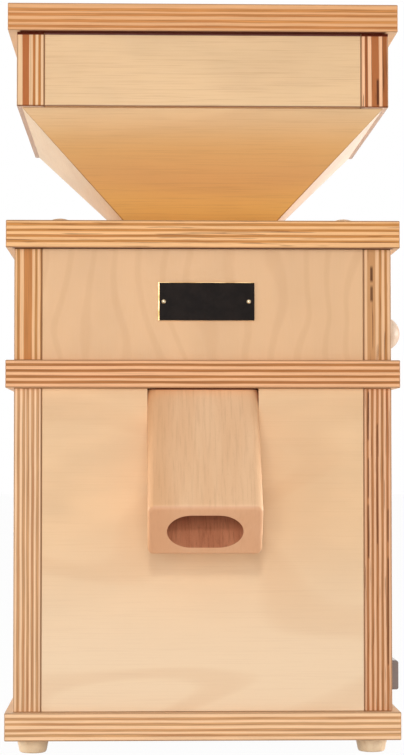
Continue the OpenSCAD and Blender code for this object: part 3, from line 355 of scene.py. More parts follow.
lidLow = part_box("lid_board")[0]
rimLow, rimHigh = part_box("hopper_left_board")[0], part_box("hopper_right_board")[1]
# where the painted shade under the lid's and the top board's front overhangs starts and ends, and how deep it reaches,
# in mm
lidShadeStrip = [1000 * d for d in (rimLow.x - lidLow.x, rimHigh.x - lidLow.x, rimLow.y - lidLow.y)]
rimTall = 1000 * (rimHigh.z - rimLow.z)
# the band at the top of the hopper rim is painted shadow of the lid; the one at its foot is a dark joint
rimShadowAndSeams = [((axis, rimTall - 1.4, rimTall - 1.05, 1.0), (axis, 0.8, 0.45, 0.7)) for axis in (0, 1)]
towerLow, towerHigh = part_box("upper_left_panel")[0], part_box("upper_right_panel")[1]
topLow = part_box("top_board")[0]
topShadeStrip = [1000 * d for d in (towerLow.x - topLow.x, towerHigh.x - topLow.x, towerLow.y - topLow.y)]
boards = {
    "base_board": {"turn": flat, "seed": 1.0, "light": "#fcd1a5", "dark": "#d4a271",
                   "plies": ((2.46, 1.25, 0.0), (4.62, 1.25, 0.1), (7.2, 1.25, 0.0), (9.5, 1.25, 0.1))},
    "middle_board": {"turn": flat, "seed": 2.3, "light": "#f2b98a", "dark": "#b47744",
                     "plies": ((2.35, 1.27, 0.1), (4.8, 1.27, 0.0), (7.4, 1.27, 0.1), (9.97, 1.2, 0.0))},
    "top_board": {"turn": flat, "seed": 3.1, "light": "#f5bf87", "dark": "#c9894a", "streaks": 0.5,
                  "under": (topShadeStrip[0], topShadeStrip[1], topShadeStrip[2] + 1),
                  "plies": ((2.9, 1.15, 0.0), (5.2, 1.2, 0.1), (7.67, 1.2, 0.0), (10.18, 1.3, 0.0))},
    "lid_board": {"turn": flat, "seed": 4.7, "light": "#e9b07d", "dark": "#d08d51", "arris": 0.35,
                  "under": (lidShadeStrip[0] + 2, lidShadeStrip[1] - 2, lidShadeStrip[2] + 1),
                  "plies": ((1.8, 1.25, 0.3), (4.26, 1.34, 0.0), (6.98, 1.34, 0.1), (9.13, 1.43, 0.0))},
    "lid_cleat": {"turn": flat, "seed": 5.2,
                  "plies": ((1.3, 0.9, 0.1), (3.1, 0.9, 0.1), (4.9, 0.9, 0.1), (6.7, 0.9, 0.1))},
    "lower_left_panel": {"turn": leftSide, "seed": 6.4, "light": "#f4cca4", "dark": "#ca986b",
                         "plies": ((1.65, 1.3, 0.0), (3.8, 1.3, 0.0), (5.85, 1.25, 0.0), (7.72, 1.3, 0.0),
                                   (10.0, 1.3, 0.1))},
    "lower_right_panel": {"turn": rightSide, "seed": 7.9, "light": "#efbb93", "dark": "#b47b4d", "streaks": 0.5,
                          "gum": ((1.9, 117, 138, 0.8, 0.8), (1.9, 92, 109, 0.8, 0.7), (1.9, 66, 89, 0.8, 0.75),
                                  (5.85, 72, 124, 0.7, 0.7), (10.4, 20, 66, 0.8, 0.7), (10.4, 73, 87, 0.8, 0.6)),
                          "plies": ((1.6, 1.1, 0.2), (3.7, 1.15, 0.0), (5.85, 1.15, 0.2), (8.0, 1.15, 0.0),
                                    (10.2, 1.1, 0.2))},
    # the face pales towards the bottom: painted light bounced from the floor
    "lower_front_panel": {"turn": front, "seed": 8.2, "figureSize": (230, 75, 60), "figureTurns": 6.0,
                          "figureFrom": 0.3, "figureDepth": 0.2, "fibreDepth": 0.1, "face": "#ecc496",
                          "paintedLightFades": ((1, 95, 10, "#f8dab5"),)},
    "lower_back_panel": {"turn": back, "seed": 9.6},
    "upper_left_panel": {"turn": leftSide, "seed": 10.1, "light": "#f1bf8e", "dark": "#bb834c", "red": "#dc8546",
                         "plies": ((0.3, 1.0, 0.0), (2.55, 1.1, 0.0), (6.1, 3.6, 0.35), (10.1, 1.3, 0.0))},
    "upper_right_panel": {"turn": rightSide, "seed": 11.4, "light": "#f0c093", "dark": "#bb804a", "red": "#d49d6b",
                          "streaks": 0.8,
                          "gum": ((3.6, 25.8, 32.3, 1.1, 0.8), (3.6, 34.4, 40.8, 1.2, 0.95)),
                          "plies": ((3.43, 3.5, 0.8), (7.2, 1.2, 0.0), (9.75, 1.2, 0.0))},
    "upper_front_panel": {"turn": (90, 90, 0), "seed": 12.8, "figureSize": (60, 60, 60), "figureTurns": 4.5,
                          "figureGap": 12.5, "figureFrom": 0.4, "face": "#e6b889", "figure": "#c99465",
                          "fibreDepth": 0.05, "mottle": 0.03},
    "upper_back_panel": {"turn": back, "seed": 13.3},
    "corner_blocks": {"turn": (0, 90, 0), "seed": 14.2},
    "hopper_left_board": {"turn": leftSide, "seed": 15.6, "light": "#f1c89c", "dark": "#bd7b3e", "red": "#b96737",
                          "plies": ((0.0, 0.5, 0.0), (2.15, 1.2, 0.0), (4.5, 1.15, 0.2), (5.8, 0.15, 0.3),
                                    (8.02, 3.0, 0.75)),
                          "shadowAndSeams": rimShadowAndSeams[0], "sole": 0.85},
    "hopper_right_board": {"turn": rightSide, "seed": 16.9, "light": "#fcc599", "dark": "#9b592e", "red": "#bd713f",
                           "streaks": 0.8,
                           "gum": ((7.3, 0.9, 12.4, 1.0, 0.95),),
                           "plies": ((2.4, 1.3, 0.0), (6.25, 3.3, 0.85), (10.4, 2.2, 0.25)),
                           "shadowAndSeams": rimShadowAndSeams[0], "sole": 0.85},
    "hopper_front_board": {"turn": front, "seed": 17.1, "fibreDepth": 0.35, "face": "#ebc494", "figureDepth": 0.06,
                           "shadowAndSeams": rimShadowAndSeams[1]},
    "hopper_back_board": {"turn": back, "seed": 18.5, "fibreDepth": 0.35},
    # the face turns more orange lower down: painted shade under the hopper and orange light bounced from the wood
    "funnel_front_board": {"turn": (135, 0, 0), "seed": 19.7, "face": "#f3cea0", "fibreDepth": 0.3,
                           "paintedLightFades": ((1, 86, 56, "#efbc7b"), (1, 46, 22, "#fbcf7c")), "figureDepth": 0.1},
    # this face is paler than the left board's: painted light, standing in for the strong lamp on the right
    "funnel_right_board": {"turn": (135, 0, 90), "seed": 20.3, "face": "#f1dcc6", "figureDepth": 0.08},
    "funnel_back_board": {"turn": (135, 0, 180), "seed": 21.8, "face": "#efc89c"},
    "funnel_left_board": {"turn": (135, 0, 270), "seed": 22.6, "face": "#e5c8a4", "figureDepth": 0.08}}
# the sanded arris of every board; sawn edges, which face away from the thickness, are duller
sanding = {"width": 0.00045, "steps": 3, "tolerance": 0.00002, "sawnGloss": 0.12, "sawnBelow": 0.68}

bodyOf = {node: body for body, nodes in frame["record"]["behaviour"]["bodies"].items() for node in nodes}


def startAlone(thing):
    bpy.ops.object.select_all(action="DESELECT")
    thing.select_set(True)
    bpy.context.view_layer.objects.active = thing


def copyNode(node, name):
    # a merged copy of a node's loose triangles, with flat faces joined up
    copied = frame["nodes"][node].copy()
    copied.data = copied.data.copy()
    for key in list(copied.keys()):
        del copied[key]
    copied.parent = None
    copied.name = name
    copied.data.name = name
    bpy.context.scene.collection.objects.link(copied)
    startAlone(copied)
    bpy.ops.object.mode_set(mode="EDIT")
    bpy.ops.mesh.select_mode(type="VERT")
    bpy.ops.mesh.select_all(action="SELECT")
    bpy.ops.mesh.remove_doubles(threshold=weldWidth)
    bpy.ops.mesh.dissolve_limited(angle_limit=math.radians(0.5), delimit={"NORMAL"})
    bpy.ops.mesh.select_all(action="DESELECT")
    bpy.ops.object.mode_set(mode="OBJECT")
    return copied


def pickEdges(thing, wanted, sharpness=20):
    # selects the sharp edges for which wanted(first end, second end) holds, then enters edit mode
    startAlone(thing)
    bpy.ops.object.mode_set(mode="EDIT")
    bpy.ops.mesh.select_mode(type="EDGE")
    bpy.ops.mesh.select_all(action="DESELECT")
    bpy.ops.mesh.edges_select_sharp(sharpness=math.radians(sharpness))
    bpy.ops.object.mode_set(mode="OBJECT")
    points = thing.data.vertices
    for face in thing.data.polygons:
        face.select = False
    for edge in thing.data.edges:
        edge.select = edge.select and wanted(points[edge.vertices[0]].co, points[edge.vertices[1]].co)
    bpy.ops.object.mode_set(mode="EDIT")


def settle(thing, node, material, smoothBelow=35):
    bpy.ops.object.mode_set(mode="OBJECT")
    startAlone(thing)
    bpy.ops.object.shade_smooth_by_angle(angle=math.radians(smoothBelow))
    flatten = thing.modifiers.new("flat faces stay flat", "WEIGHTED_NORMAL")
    flatten.keep_sharp = True
    bpy.ops.object.modifier_apply(modifier=flatten.name)
    if material:
        thing.data.materials.clear()
        thing.data.materials.append(material)
    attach(thing, bodyOf[node])
    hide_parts(node)
    return thing


def sandBoard(node, look):
    board = copyNode(node, node + "_sanded")
    low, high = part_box(node)
    near = sanding["tolerance"]

    def outer(a, b):
        planes = 0
        for i in range(3):
            for side in (low[i], high[i]):
                planes += abs(a[i] - side) < near and abs(b[i] - side) < near
        return planes >= 2

    pickEdges(board, outer)
    bpy.ops.mesh.bevel(offset=sanding["width"], segments=sanding["steps"], affect="EDGES", clamp_overlap=False)
    look = {**look, **boardPlace(node, look["turn"])}
    look["mitre"] = look["ends"] if node.startswith("funnel") else None
    settle(board, node, plywood("birch plywood " + node, **look))
    look["gloss"] = sanding["sawnGloss"]
    board.data.materials.append(plywood("sawn plywood edge " + node, **look))
    across = Euler([math.radians(a) for a in look["turn"]]).to_matrix() @ Vector((0, 0, 1))
    for face in board.data.polygons:
        if abs(face.normal.dot(across)) < sanding["sawnBelow"]:
            face.material_index = 1


for boardName, boardLook in boards.items():
    sandBoard(boardName, boardLook)
print("boards sanded")


# Solid beech: fibres and flecks along x, end grain on the faces across it

beechDefaults = {"turn": (0, 0, 0), "light": "#f0cfa6", "dark": "#d9a97c", "fleck": "#c08a5e",
                 "streakSize": (60, 1.1, 3), "spread": 0.25, "fleckDepth": 0.25, "endTint": "#cf9d78",
                 "endShare": 0.5, "broad": 0.5, "shade": None, "root": None, "seed": 0.0}
beechPatterns = {"broad": ((70, 7, 9), 2.0, 0.5, 0.3), "fleck": ((2.6, 0.22, 0.22), 1.0), "pores": ((4.0, 0.3, 0.3),)}


def beech(name, **look):
    look = {**beechDefaults, **look}
    made, tree, shader = newMaterial(name, 0.45, ior=1.5)
    shader.inputs["Specular IOR Level"].default_value = 0.4
    point, facing = localPoint(tree, look["origin"], look["turn"])
    shift = [look["seed"] * step for step in (131, 67, 41)]
    shifted = addNode(tree, "VectorMath", point, shift, operation="ADD")
    broad = blotches(tree, shifted, *beechPatterns["broad"])
    broad = addNode(tree, "MapRange", broad, 0.3, 0.7, 0.0, look["broad"], **smooth)
    streak = blotches(tree, shifted, look["streakSize"], 4.0, 0.6, 0.2)
    streak = addNode(tree, "MapRange", streak, 0.45, 0.75, 0.0, look["spread"], **smooth)
    fleck = blotches(tree, shifted, *beechPatterns["fleck"])
    fleck = addNode(tree, "MapRange", fleck, 0.62, 0.74, 0.0, look["fleckDepth"], **smooth)
    light, dark, flecked, ends = [linear(look[tone]) for tone in ("light", "dark", "fleck", "endTint")]
    colour = paint(tree, light, (broad, dark))
    if look["shade"]:  # (axis, where the darker side starts, where it is full)
        axis, start, full = look["shade"]
        shade = addNode(tree, "SeparateXYZ", point)[axis]
        shade = addNode(tree, "MapRange", shade, start, full, 0.0, 0.8, **smooth)
        colour = paint(tree, colour, (shade, dark))
    colour = paint(tree, colour, (streak, flecked), (fleck, flecked))
    if look["root"]:  # painted shadow of the board above, just below this height
        height = addNode(tree, "SeparateXYZ", localPoint(tree)[0])[2]
        shadowed = addNode(tree, "MapRange", height, look["root"] - 0.9, look["root"] - 0.5, **smooth)
        colour = paint(tree, colour, (shadowed, linear(plyTones["joint"])))
    endOn = addNode(tree, "Math", addNode(tree, "SeparateXYZ", facing)[0], operation="ABSOLUTE")
    endOn = addNode(tree, "MapRange", endOn, 0.45, 0.8, 0.0, look["endShare"], **smooth)
    colour = paint(tree, colour, (endOn, ends))
    pores = blotches(tree, shifted, *beechPatterns["pores"])
    rough = addNode(tree, "MapRange", pores, 0.3, 0.7, 0.4, 0.55, **smooth)
    finishSurface(tree, shader, colour, rough, addNode(tree, "Math", pores, 0.02, operation="MULTIPLY"), 0.5)
    return made


# Spout: a sawn block with rounded corners, its grain along the flour channel

spoutSettings = {"slope": 52, "endLean": 35, "corner": 0.0025, "topCorner": 0.007, "mouthCorner": 0.002,
                 "endRound": 0.0018, "swell": 0.00009, "channelHalf": 0.016, "channelRound": 0.008, "arch": 1.3,
                 "long": 0.14, "cutterLong": 0.3, "tolerance": 0.00005}


def roundedBar(name, wide, long, thick, corner, topCorner, steps):
    # a bar along Y with two rounded lower edges and two rounded upper ones
    bpy.ops.object.select_all(action="DESELECT")
    bpy.ops.mesh.primitive_cube_add(size=1, location=(0, 0, 0), scale=(wide, long, thick))
    bar = bpy.context.object
    bar.name = name
    bpy.ops.object.transform_apply(location=False, rotation=False, scale=True)
    for side, radius in ((-1, corner), (1, topCorner)):
        pickEdges(bar, lambda a, b: abs(a.y - b.y) > long / 2 and a.z * side > thick * 0.49, 80)
        bpy.ops.mesh.bevel(offset=radius, segments=steps, affect="EDGES", clamp_overlap=False)
        bpy.ops.mesh.select_all(action="DESELECT")
        bpy.ops.object.mode_set(mode="OBJECT")
    return bar


def layAlong(bar, place, slope):
    startAlone(bar)
    bar.location = place
    bar.rotation_euler = (slope, 0, 0)
    bpy.ops.object.transform_apply(location=True, rotation=True, scale=True)


def makeSpout():
    low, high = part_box("spout")
    slope = math.radians(spoutSettings["slope"])
    lean = math.radians(spoutSettings["endLean"])
    near = spoutSettings["tolerance"]
    outward = Vector((0, -math.cos(lean), -math.sin(lean)))
    down = Vector((0, -math.cos(slope), -math.sin(slope)))
    across = Vector((0, -math.sin(slope), math.cos(slope)))
    corners = [v.co for v in frame["nodes"]["spout"].data.vertices]
    depths = [c.dot(across) for c in corners]
    endAt = max(c.dot(outward) for c in corners)
    reaches = [c.dot(down) for c in corners]
    along = (min(reaches) + max(reaches)) / 2
    place = Vector((millAxis.x, 0, 0)) + across * (min(depths) + max(depths)) / 2 + down * along
    wide = high.x - low.x + 2 * spoutSettings["swell"]
    thick = max(depths) - min(depths)

    # the upper corners are rounder inside the housing than at the mouth
    big, small = spoutSettings["topCorner"], spoutSettings["mouthCorner"]
    block = roundedBar("spout_block", wide, spoutSettings["long"], thick, spoutSettings["corner"], big, 8)
    for v in block.data.vertices:
        side = math.copysign(1, v.co.x)
        fromCorner = Vector((abs(v.co.x) - wide / 2 + big, v.co.z - thick / 2 + big))
        if v.co.y < 0 and min(fromCorner) > -near:
            fromCorner *= small / big
            v.co.x = side * (wide / 2 - small + fromCorner.x)
            v.co.z = thick / 2 - small + fromCorner.y
    layAlong(block, place, slope)
    cuts = ((outward * endAt, outward), (Vector((0, 0, high.z)), Vector((0, 0, 1))))
    bpy.ops.object.mode_set(mode="EDIT")
    for point, normal in cuts:
        bpy.ops.mesh.select_all(action="SELECT")
        bpy.ops.mesh.bisect(plane_co=point, plane_no=normal, use_fill=True, clear_outer=True)
    bpy.ops.mesh.select_all(action="DESELECT")
    bpy.ops.object.mode_set(mode="OBJECT")
    pickEdges(block, lambda a, b: min(a.dot(outward), b.dot(outward)) > endAt - near)
    bpy.ops.mesh.bevel(offset=spoutSettings["endRound"], segments=5, affect="EDGES", clamp_overlap=False)
    bpy.ops.mesh.select_all(action="DESELECT")
    bpy.ops.object.mode_set(mode="OBJECT")

    # the channel's round ends are wider than they are deep
    half, radius = spoutSettings["channelHalf"], spoutSettings["channelRound"]
    nearly = radius * 0.999
    channel = roundedBar("flour_channel_cutter", 2 * half, spoutSettings["cutterLong"], 2 * radius, nearly, nearly, 14)
    for v in channel.data.vertices:
        reach = abs(v.co.x)
        v.co.x = math.copysign(half - (half - reach) * spoutSettings["arch"], v.co.x)
    layAlong(channel, place, slope)
    startAlone(block)
    cut = block.modifiers.new("flour channel", "BOOLEAN")
    cut.operation = "DIFFERENCE"
    cut.solver = "EXACT"
    cut.object = channel
    bpy.ops.object.modifier_apply(modifier=cut.name)
    bpy.data.objects.remove(channel, do_unlink=True)

    turn = (0, 90 - spoutSettings["slope"], -90)
    start = (millAxis.x, low.y, high.z)
    wood = beech("spout beech", origin=start, turn=turn, light="#f7cb9f", dark="#e8b281", fleckDepth=0.15,
                 streakSize=(90, 1.0, 4), spread=0.22, endTint="#d79b73", endShare=0.65, broad=0.35,
                 shade=(1, -100 * wide, -500 * wide), root=1000 * high.z, seed=2.0)
    settle(block, "spout", wood)
    # the channel's walls are darker and redder than the spout: painted shade inside the bore
    channelShade = beech("beech flour channel with painted shade", origin=start, turn=turn, light="#cd8863", dark="#b16847", fleck="#86462a",
                streakSize=(60, 0.9, 2), spread=0.5, endShare=0.0, seed=4.0)
    block.data.materials.append(channelShade)
    for face in block.data.polygons:
        within = abs((face.center - place).dot(across)) < radius + near
        if within and abs(face.center.x - place.x) < half + near and face.normal.dot(outward) < 0.5:
            face.material_index = 1


makeSpout()


# Feet, plugs, knob and dowels: turned beech

feetSettings = {"round": 0.0009, "tolerance": 0.00005, "innerShare": 0.75}


def makeFeet():
    low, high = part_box("feet")
    feet = copyNode("feet", "turned_feet")
    radius = max(v.co.x for v in feet.data.vertices if v.co.z < feetSettings["tolerance"])
    centre = (high.x + min(v.co.x for v in feet.data.vertices if v.co.x > millAxis.x)) / 2 - millAxis.x
    reach = (radius - millAxis.x - centre) * feetSettings["innerShare"]

    def standing(a, b):
        if max(a.z, b.z) > feetSettings["tolerance"]:
            return False
        away = [math.hypot(abs(c.x - millAxis.x) - centre, abs(c.y - millAxis.y) - centre) for c in (a, b)]
        return min(away) > reach

    pickEdges(feet, standing)
    bpy.ops.mesh.bevel(offset=feetSettings["round"], segments=4, affect="EDGES", clamp_overlap=False)
    wood = beech("turned beech foot", origin=low, turn=(0, 90, 0), light="#f2dcbc", dark="#e6c69e", endShare=0.2,
                 endTint="#e2b98d", seed=5.0)
    settle(feet, "feet", wood)


makeFeet()


def dress(node, material):
    # a CAD node whose shape is right keeps its mesh and gets its material
    for place in frame["nodes"][node].material_slots:
        place.material = material


turnedDefaults = {"light": "#e8cfb2", "dark": "#dab28d"}
turnedWood = {"cover_plugs": {"turn": (0, 0, 0), "seed": 7.0},
              "lever_knob": {"turn": (0, 0, 23.5), "light": "#dec8b1", "dark": "#d2ad8d", "seed": 9.0},
              "dowels": {"turn": (0, 90, 0), "seed": 11.0}}
for node, look in turnedWood.items():
    dress(node, beech("turned beech " + node, origin=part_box(node)[0], **{**turnedDefaults, **look}))
print("solid wood made")


# Metals: patches of tarnish, and the marks of casting, turning or drawing

metalDefaults = {"tone": "#c9cbcc", "toneAlt": "#b3b5b6", "smooth": 0.28, "rough": 0.42, "patch": 6.0,
                 "marks": (0.4, 0.4, 0.4), "relief": 0.01, "about": None, "flow": (0.25, 30, 0.25)}


def aroundAxis(tree, axis):
    # object coordinates in mm as radius, way round and height about an upright axis
    x, y, z = addNode(tree, "SeparateXYZ", localPoint(tree, (axis.x, axis.y, 0))[0])
    radius = addNode(tree, "VectorMath", addNode(tree, "CombineXYZ", x, y, 0.0), operation="LENGTH")
    return radius, addNode(tree, "Math", y, x, operation="ARCTAN2"), z


def metal(name, **look):
    look = {**metalDefaults, **look}
    made, tree, shader = newMaterial(name, look["smooth"], metallic=1)
    point = localPoint(tree)[0]
    patches = blotches(tree, point, [look["patch"]] * 3, 3.0)
    dulled = addNode(tree, "MapRange", patches, 0.35, 0.65, **smooth)
    colour = paint(tree, linear(look["tone"]), (dulled, linear(look["toneAlt"])))
    if look["about"]:  # turned or drawn round an axis
        radius, angle, z = aroundAxis(tree, look["about"])
        ring = addNode(tree, "CombineXYZ", radius, addNode(tree, "Math", angle, 40.0, operation="MULTIPLY"), z)
        marks = blotches(tree, ring, look["flow"])
    else:
        marks = blotches(tree, point, look["marks"], 3.0)
    worn = addNode(tree, "Mix", 0.4, marks, patches)
    rough = addNode(tree, "MapRange", worn, 0.3, 0.7, look["smooth"], look["rough"], **smooth)
    finishSurface(tree, shader, colour, rough, addNode(tree, "Math", marks, look["relief"], operation="MULTIPLY"), 0.6)
    return made


turnedSteel = {"about": millAxis, "tone": "#c4c5c7", "toneAlt": "#a9abae", "relief": 0.006}
metals = {
    "zinc-plated steel": {"nodes": ("short_screws", "long_screws", "top_screws", "tie_bolts", "motor_bolts",
                                    "shaft_nut", "capacitor_clamp"),
                          "tone": "#cdd0cf", "toneAlt": "#b9bba6", "patch": 3.0, "relief": 0.004},
    "cast aluminium": {"nodes": ("motor_flange", "motor_end_shield", "flour_chamber", "runner_hub"),
                       "tone": "#c2c4c4", "toneAlt": "#a6a8a9", "smooth": 0.42, "rough": 0.62,
                       "marks": (0.7, 0.7, 0.7), "relief": 0.06},
    "turned aluminium": {"nodes": ("stone_carrier",), "about": millAxis, "tone": "#cfd0d0", "toneAlt": "#bcbebf"},
    "turned steel": {"nodes": ("adjusting_ring", "rotor_shaft"), **turnedSteel},
    "ground bearing steel": {"nodes": ("bearing_outer_rings", "bearing_inner_rings"), **turnedSteel,
                             "smooth": 0.14, "rough": 0.24, "tone": "#d2d3d5"},
    "drawn steel tube": {"nodes": ("feed_tube",), "about": millAxis, "flow": (0.3, 12, 6), "smooth": 0.22},
    "spring steel wire": {"nodes": ("pressure_springs",), "tone": "#9b9da1", "toneAlt": "#7d7f84", "patch": 2.0}}
for metalName, metalLook in metals.items():
    finish = {key: value for key, value in metalLook.items() if key != "nodes"}
    made = metal(metalName, **finish)
    for node in metalLook["nodes"]:
        dress(node, made)
print("metal parts dressed")


# Laminated cores and enamelled copper coils of the motor

motorSettings = {"sheet": 0.5, "sheetTone": "#85827e", "sheetDark": "#4c4a49", "wire": 0.75, "copper": "#a4521f",
                 "copperDark": "#5f2a10", "lacing": "#e3d9c3", "lacings": 18}


def laminatedSteel():
    made, tree, shader = newMaterial("laminated electrical steel", 0.45, metallic=1)
    point = localPoint(tree)[0]
    z = addNode(tree, "SeparateXYZ", point)[2]
    stack = addNode(tree, "Math", z, 2 * math.pi / motorSettings["sheet"], operation="MULTIPLY")
    stack = addNode(tree, "Math", stack, operation="COSINE")
    stain = blotches(tree, point, (7, 7, 1.5), 3.0)
    shadowAndSeam = addNode(tree, "MapRange", stack, 0.1, 0.9, 0.0, 0.7, **smooth)
    stained = addNode(tree, "MapRange", stain, 0.4, 0.7, 0.0, 0.4, **smooth)
    darkness = addNode(tree, "Math", shadowAndSeam, stained, operation="ADD")
    colour = paint(tree, linear(motorSettings["sheetTone"]), (darkness, linear(motorSettings["sheetDark"])))
    rough = addNode(tree, "MapRange", stain, 0.3, 0.7, 0.38, 0.6, **smooth)
    finishSurface(tree, shader, colour, rough, addNode(tree, "Math", stack, -0.03, operation="MULTIPLY"), 0.8)
    return made


def copperCoils():
    made, tree, shader = newMaterial("enamelled copper wire", 0.3, metallic=1, coat=0.7, coatRoughness=0.15)
    radius, angle, z = aroundAxis(tree, millAxis)
    bundle = addNode(tree, "CombineXYZ", radius, addNode(tree, "Math", angle, 40.0, operation="MULTIPLY"), z)
    wander = blotches(tree, bundle, (6, 30, 6), 1.0)
    level = addNode(tree, "Math", radius, z, operation="ADD")
    level = addNode(tree, "Math", wander, 5.0, level, operation="MULTIPLY_ADD")
    strand = addNode(tree, "Math", level, 2 * math.pi / motorSettings["wire"], operation="MULTIPLY")
    strand = addNode(tree, "Math", strand, operation="COSINE")
    gap = addNode(tree, "MapRange", strand, -1.0, 0.2, 0.85, 0.0, **smooth)
    tie = addNode(tree, "Math", angle, motorSettings["lacings"], operation="MULTIPLY")
    tie = addNode(tree, "Math", tie, operation="COSINE")
    tie = addNode(tree, "MapRange", tie, 0.93, 0.96, **smooth)
    colour = paint(tree, linear(motorSettings["copper"]), (gap, linear(motorSettings["copperDark"])),
                   (tie, linear(motorSettings["lacing"])))
    tree.links.new(addNode(tree, "Math", 1.0, tie, operation="SUBTRACT"), shader.inputs["Metallic"])
    height = addNode(tree, "Math", strand, 0.12, operation="MULTIPLY")
    height = addNode(tree, "Math", tie, 0.4, height, operation="MULTIPLY_ADD")
    rough = addNode(tree, "MapRange", wander, 0.3, 0.7, 0.25, 0.4, **smooth)
    finishSurface(tree, shader, colour, rough, height, 0.8)
    return made


sheets = laminatedSteel()
dress("stator_core", sheets)
dress("rotor_core", sheets)
dress("windings", copperCoils())


# Plastics and paint: faint mottling and a fine moulded or sprayed skin

plasticDefaults = {"tone": "#6f6a66", "toneAlt": "#66615d", "smooth": 0.36, "rough": 0.46, "skin": 0.3,
                   "relief": 0.02, "coat": 0.0, "dust": "#8d8780", "dustShare": 0.15}


def plastic(name, **look):
    look = {**plasticDefaults, **look}
    made, tree, shader = newMaterial(name, look["smooth"], ior=1.49, coat=look["coat"])
    point = localPoint(tree)[0]
    mottle = addNode(tree, "MapRange", blotches(tree, point, (11, 11, 11), 3.0), 0.3, 0.7, **smooth)
    skin = blotches(tree, point, [look["skin"]] * 3)
    settled = blotches(tree, point, (3, 3, 5), 4.0)
    settled = addNode(tree, "MapRange", settled, 0.5, 0.75, 0.0, look["dustShare"], **smooth)
    colour = paint(tree, linear(look["tone"]), (mottle, linear(look["toneAlt"])), (settled, linear(look["dust"])))
    rough = addNode(tree, "MapRange", skin, 0.3, 0.7, look["smooth"], look["rough"], **smooth)
    finishSurface(tree, shader, colour, rough, addNode(tree, "Math", skin, look["relief"], operation="MULTIPLY"), 0.6)
    return made


dress("gland_nut", plastic("black polyamide nut", tone="#2b2b2c", toneAlt="#232324", dust="#4a4845"))
dress("cooling_fan", plastic("black nylon fan", tone="#2e2e31", toneAlt="#252528", dust="#57524b", dustShare=0.3))
dress("capacitor", plastic("pale capacitor shell", tone="#dedcd4", toneAlt="#d2cfc5", skin=0.6, dust="#b9b3a5"))
dress("motor_leads", plastic("red-brown lead insulation", tone="#7c3a26", toneAlt="#6b3020", dust="#8d6a55"))
dress("motor_shell", plastic("blue-grey motor enamel", tone="#47525c", toneAlt="#3d4750", skin=1.1, relief=0.05,
                             smooth=0.25, rough=0.34, coat=0.4, dust="#7d8184"))


# Small moulded and stamped parts with softened edges

softened = {
    "switch_housing": {"name": "switch_frame", "width": 0.00035, "steps": 3, "material": plastic(
        "grey nylon switch frame", tone="#867b7a", toneAlt="#7b7170", smooth=0.1, rough=0.16)},
    "switch_rocker": {"name": "rocker_key", "width": 0.0003, "steps": 3, "material": plastic(
        "grey nylon rocker", tone="#8b8180", toneAlt="#827776", smooth=0.26, rough=0.36)},
    "cable_gland": {"name": "gland_body", "width": 0.0003, "steps": 2, "material": plastic(
        "black polyamide gland", tone="#2d2d2e", toneAlt="#242425", dust="#4c4a47")}}
for node, parts in softened.items():
    piece = copyNode(node, parts["name"])
    pickEdges(piece, lambda a, b: True, 40)
    bpy.ops.mesh.bevel(offset=parts["width"], segments=parts["steps"], affect="EDGES", clamp_overlap=True)
    settle(piece, node, parts["material"])
print("plastic parts made")


# Badge: black enamel on brass sheet, its brass edge shown along the left and upper edges only, as a painted highlight
# of the light from the upper left; two brass nails

# how far in the brass shows from each side, in mm: wider on the left and top, a painted highlight
badgeSettings = {"edge": 0.00018, "steps": 2, "rim": {"left": 0.5, "top": 0.12, "right": -0.2, "bottom": 0.02},
                 "tones": ("#150e0b", "#1e1612", "#d8b985", "#9c7c4d")}  # the enamel's two, then the brass's


def badgeEnamel():
    made, tree, shader = newMaterial("black enamel on brass", 0.3)
    shader.inputs["Specular IOR Level"].default_value = 0.04
    low, high = (c * 1000 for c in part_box("badge_plate"))
    point = localPoint(tree)[0]
    x, y, z = addNode(tree, "SeparateXYZ", point)
    edgeNoise = addNode(tree, "Math", blotches(tree, point, (2.5, 2.5, 2.5), 3.0), 0.12, operation="MULTIPLY")
    rim = badgeSettings["rim"]
    sides = (addNode(tree, "Math", low.x + rim["left"], x, operation="SUBTRACT"),
             addNode(tree, "Math", x, high.x - rim["right"], operation="SUBTRACT"),
             addNode(tree, "Math", z, high.z - rim["top"], operation="SUBTRACT"),
             addNode(tree, "Math", low.z + rim["bottom"], z, operation="SUBTRACT"))
    nearest = sides[0]
    for side in sides[1:]:
        nearest = addNode(tree, "Math", nearest, side, operation="MAXIMUM")
    # brass edge shown on the left and top only: a painted highlight of the light from the upper left
    brassEdgeAndHighlight = addNode(tree, "MapRange", addNode(tree, "Math", nearest, edgeNoise, operation="ADD"), 0.0, 0.08, **smooth)
    cloud = blotches(tree, point, (5, 5, 5), 3.0)
    black, blackAlt, brass, brassDark = [linear(tone) for tone in badgeSettings["tones"]]
    enamel = paint(tree, black, (addNode(tree, "MapRange", cloud, 0.3, 0.7, **smooth), blackAlt))
    brassShown = paint(tree, brass, (addNode(tree, "MapRange", cloud, 0.4, 0.6, **smooth), brassDark))
    colour = paint(tree, enamel, (brassEdgeAndHighlight, brassShown))
    tree.links.new(brassEdgeAndHighlight, shader.inputs["Metallic"])
    skin = blotches(tree, point, (0.8, 0.8, 0.8))
    height = addNode(tree, "Math", skin, 0.01, operation="MULTIPLY")
    height = addNode(tree, "Math", brassEdgeAndHighlight, -0.05, height, operation="MULTIPLY_ADD")
    rough = addNode(tree, "MapRange", skin, 0.3, 0.7, 0.28, 0.38, **smooth)
    finishSurface(tree, shader, colour, rough, height, 0.5)
    return made


badge = copyNode("badge_plate", "badge_sheet")
pickEdges(badge, lambda a, b: True, 40)
bpy.ops.mesh.bevel(offset=badgeSettings["edge"], segments=badgeSettings["steps"], affect="EDGES", clamp_overlap=True)
settle(badge, "badge_plate", badgeEnamel())
dress("badge_nails", metal("polished brass", tone="#d9c6a6", toneAlt="#b59a73", smooth=0.16, rough=0.3, patch=0.8,
                           marks=(0.2, 0.2, 0.2), relief=0.004))
print("badge made")


# Millstones: corundum grains in a pale bond, with furrows on the working faces

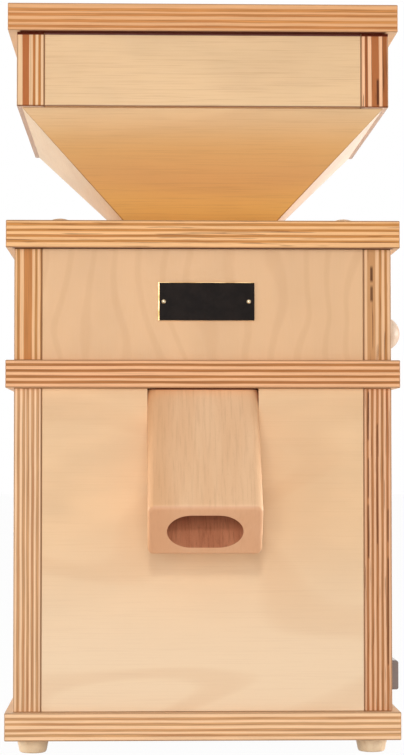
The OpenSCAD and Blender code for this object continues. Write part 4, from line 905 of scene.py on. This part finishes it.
stoneSettings = {"tones": ("#d8cfbf", "#c8bda9", "#8d8375", "#efe9dc"),  # the bond's two, then the grains'
                 "grain": 1.1, "furrows": 14, "furrowDepth": 0.6, "sweep": 45.0}


def millstone():
    made, tree, shader = newMaterial("corundum millstone", 0.85)
    point, facing = localPoint(tree)
    sized = addNode(tree, "VectorMath", point, 1 / stoneSettings["grain"], operation="SCALE")
    cells = addNode(tree, "TexVoronoi", sized, 1.0)
    pick = addNode(tree, "SeparateXYZ", cells["Color"])
    cloud = blotches(tree, point, (12, 12, 12), 3.0)
    bond, bondAlt, grain, grainAlt = [linear(tone) for tone in stoneSettings["tones"]]
    body = addNode(tree, "MapRange", cells["Distance"], 0.25, 0.4, 1.0, 0.0, **smooth)
    chosen = addNode(tree, "Math", pick[0], 0.45, operation="GREATER_THAN")
    shown = addNode(tree, "Math", body, chosen, operation="MULTIPLY")
    grains = paint(tree, grain, (pick[1], grainAlt))
    colour = paint(tree, bond, (addNode(tree, "MapRange", cloud, 0.35, 0.65, **smooth), bondAlt), (shown, grains))

    # furrows swept back from the eye, cut in the flat faces
    radius, angle = aroundAxis(tree, millAxis)[:2]
    swept = addNode(tree, "Math", radius, stoneSettings["sweep"] / stoneSettings["furrows"], operation="DIVIDE")
    swept = addNode(tree, "Math", angle, stoneSettings["furrows"], swept, operation="MULTIPLY_ADD")
    swept = addNode(tree, "Math", swept, operation="COSINE")
    furrow = addNode(tree, "MapRange", swept, 0.35, 0.85, **smooth)
    level = addNode(tree, "Math", addNode(tree, "SeparateXYZ", facing)[2], operation="ABSOLUTE")
    level = addNode(tree, "MapRange", level, 0.9, 0.99, **smooth)
    groove = addNode(tree, "Math", furrow, level, operation="MULTIPLY")
    height = addNode(tree, "Math", shown, 0.08, operation="MULTIPLY")
    height = addNode(tree, "Math", groove, -stoneSettings["furrowDepth"], height, operation="MULTIPLY_ADD")
    rough = addNode(tree, "MapRange", cloud, 0.3, 0.7, 0.8, 0.92, **smooth)
    finishSurface(tree, shader, colour, rough, height, 0.7)
    return made


stone = millstone()
dress("runner_stone", stone)
dress("fixed_stone", stone)
print("millstones dressed")
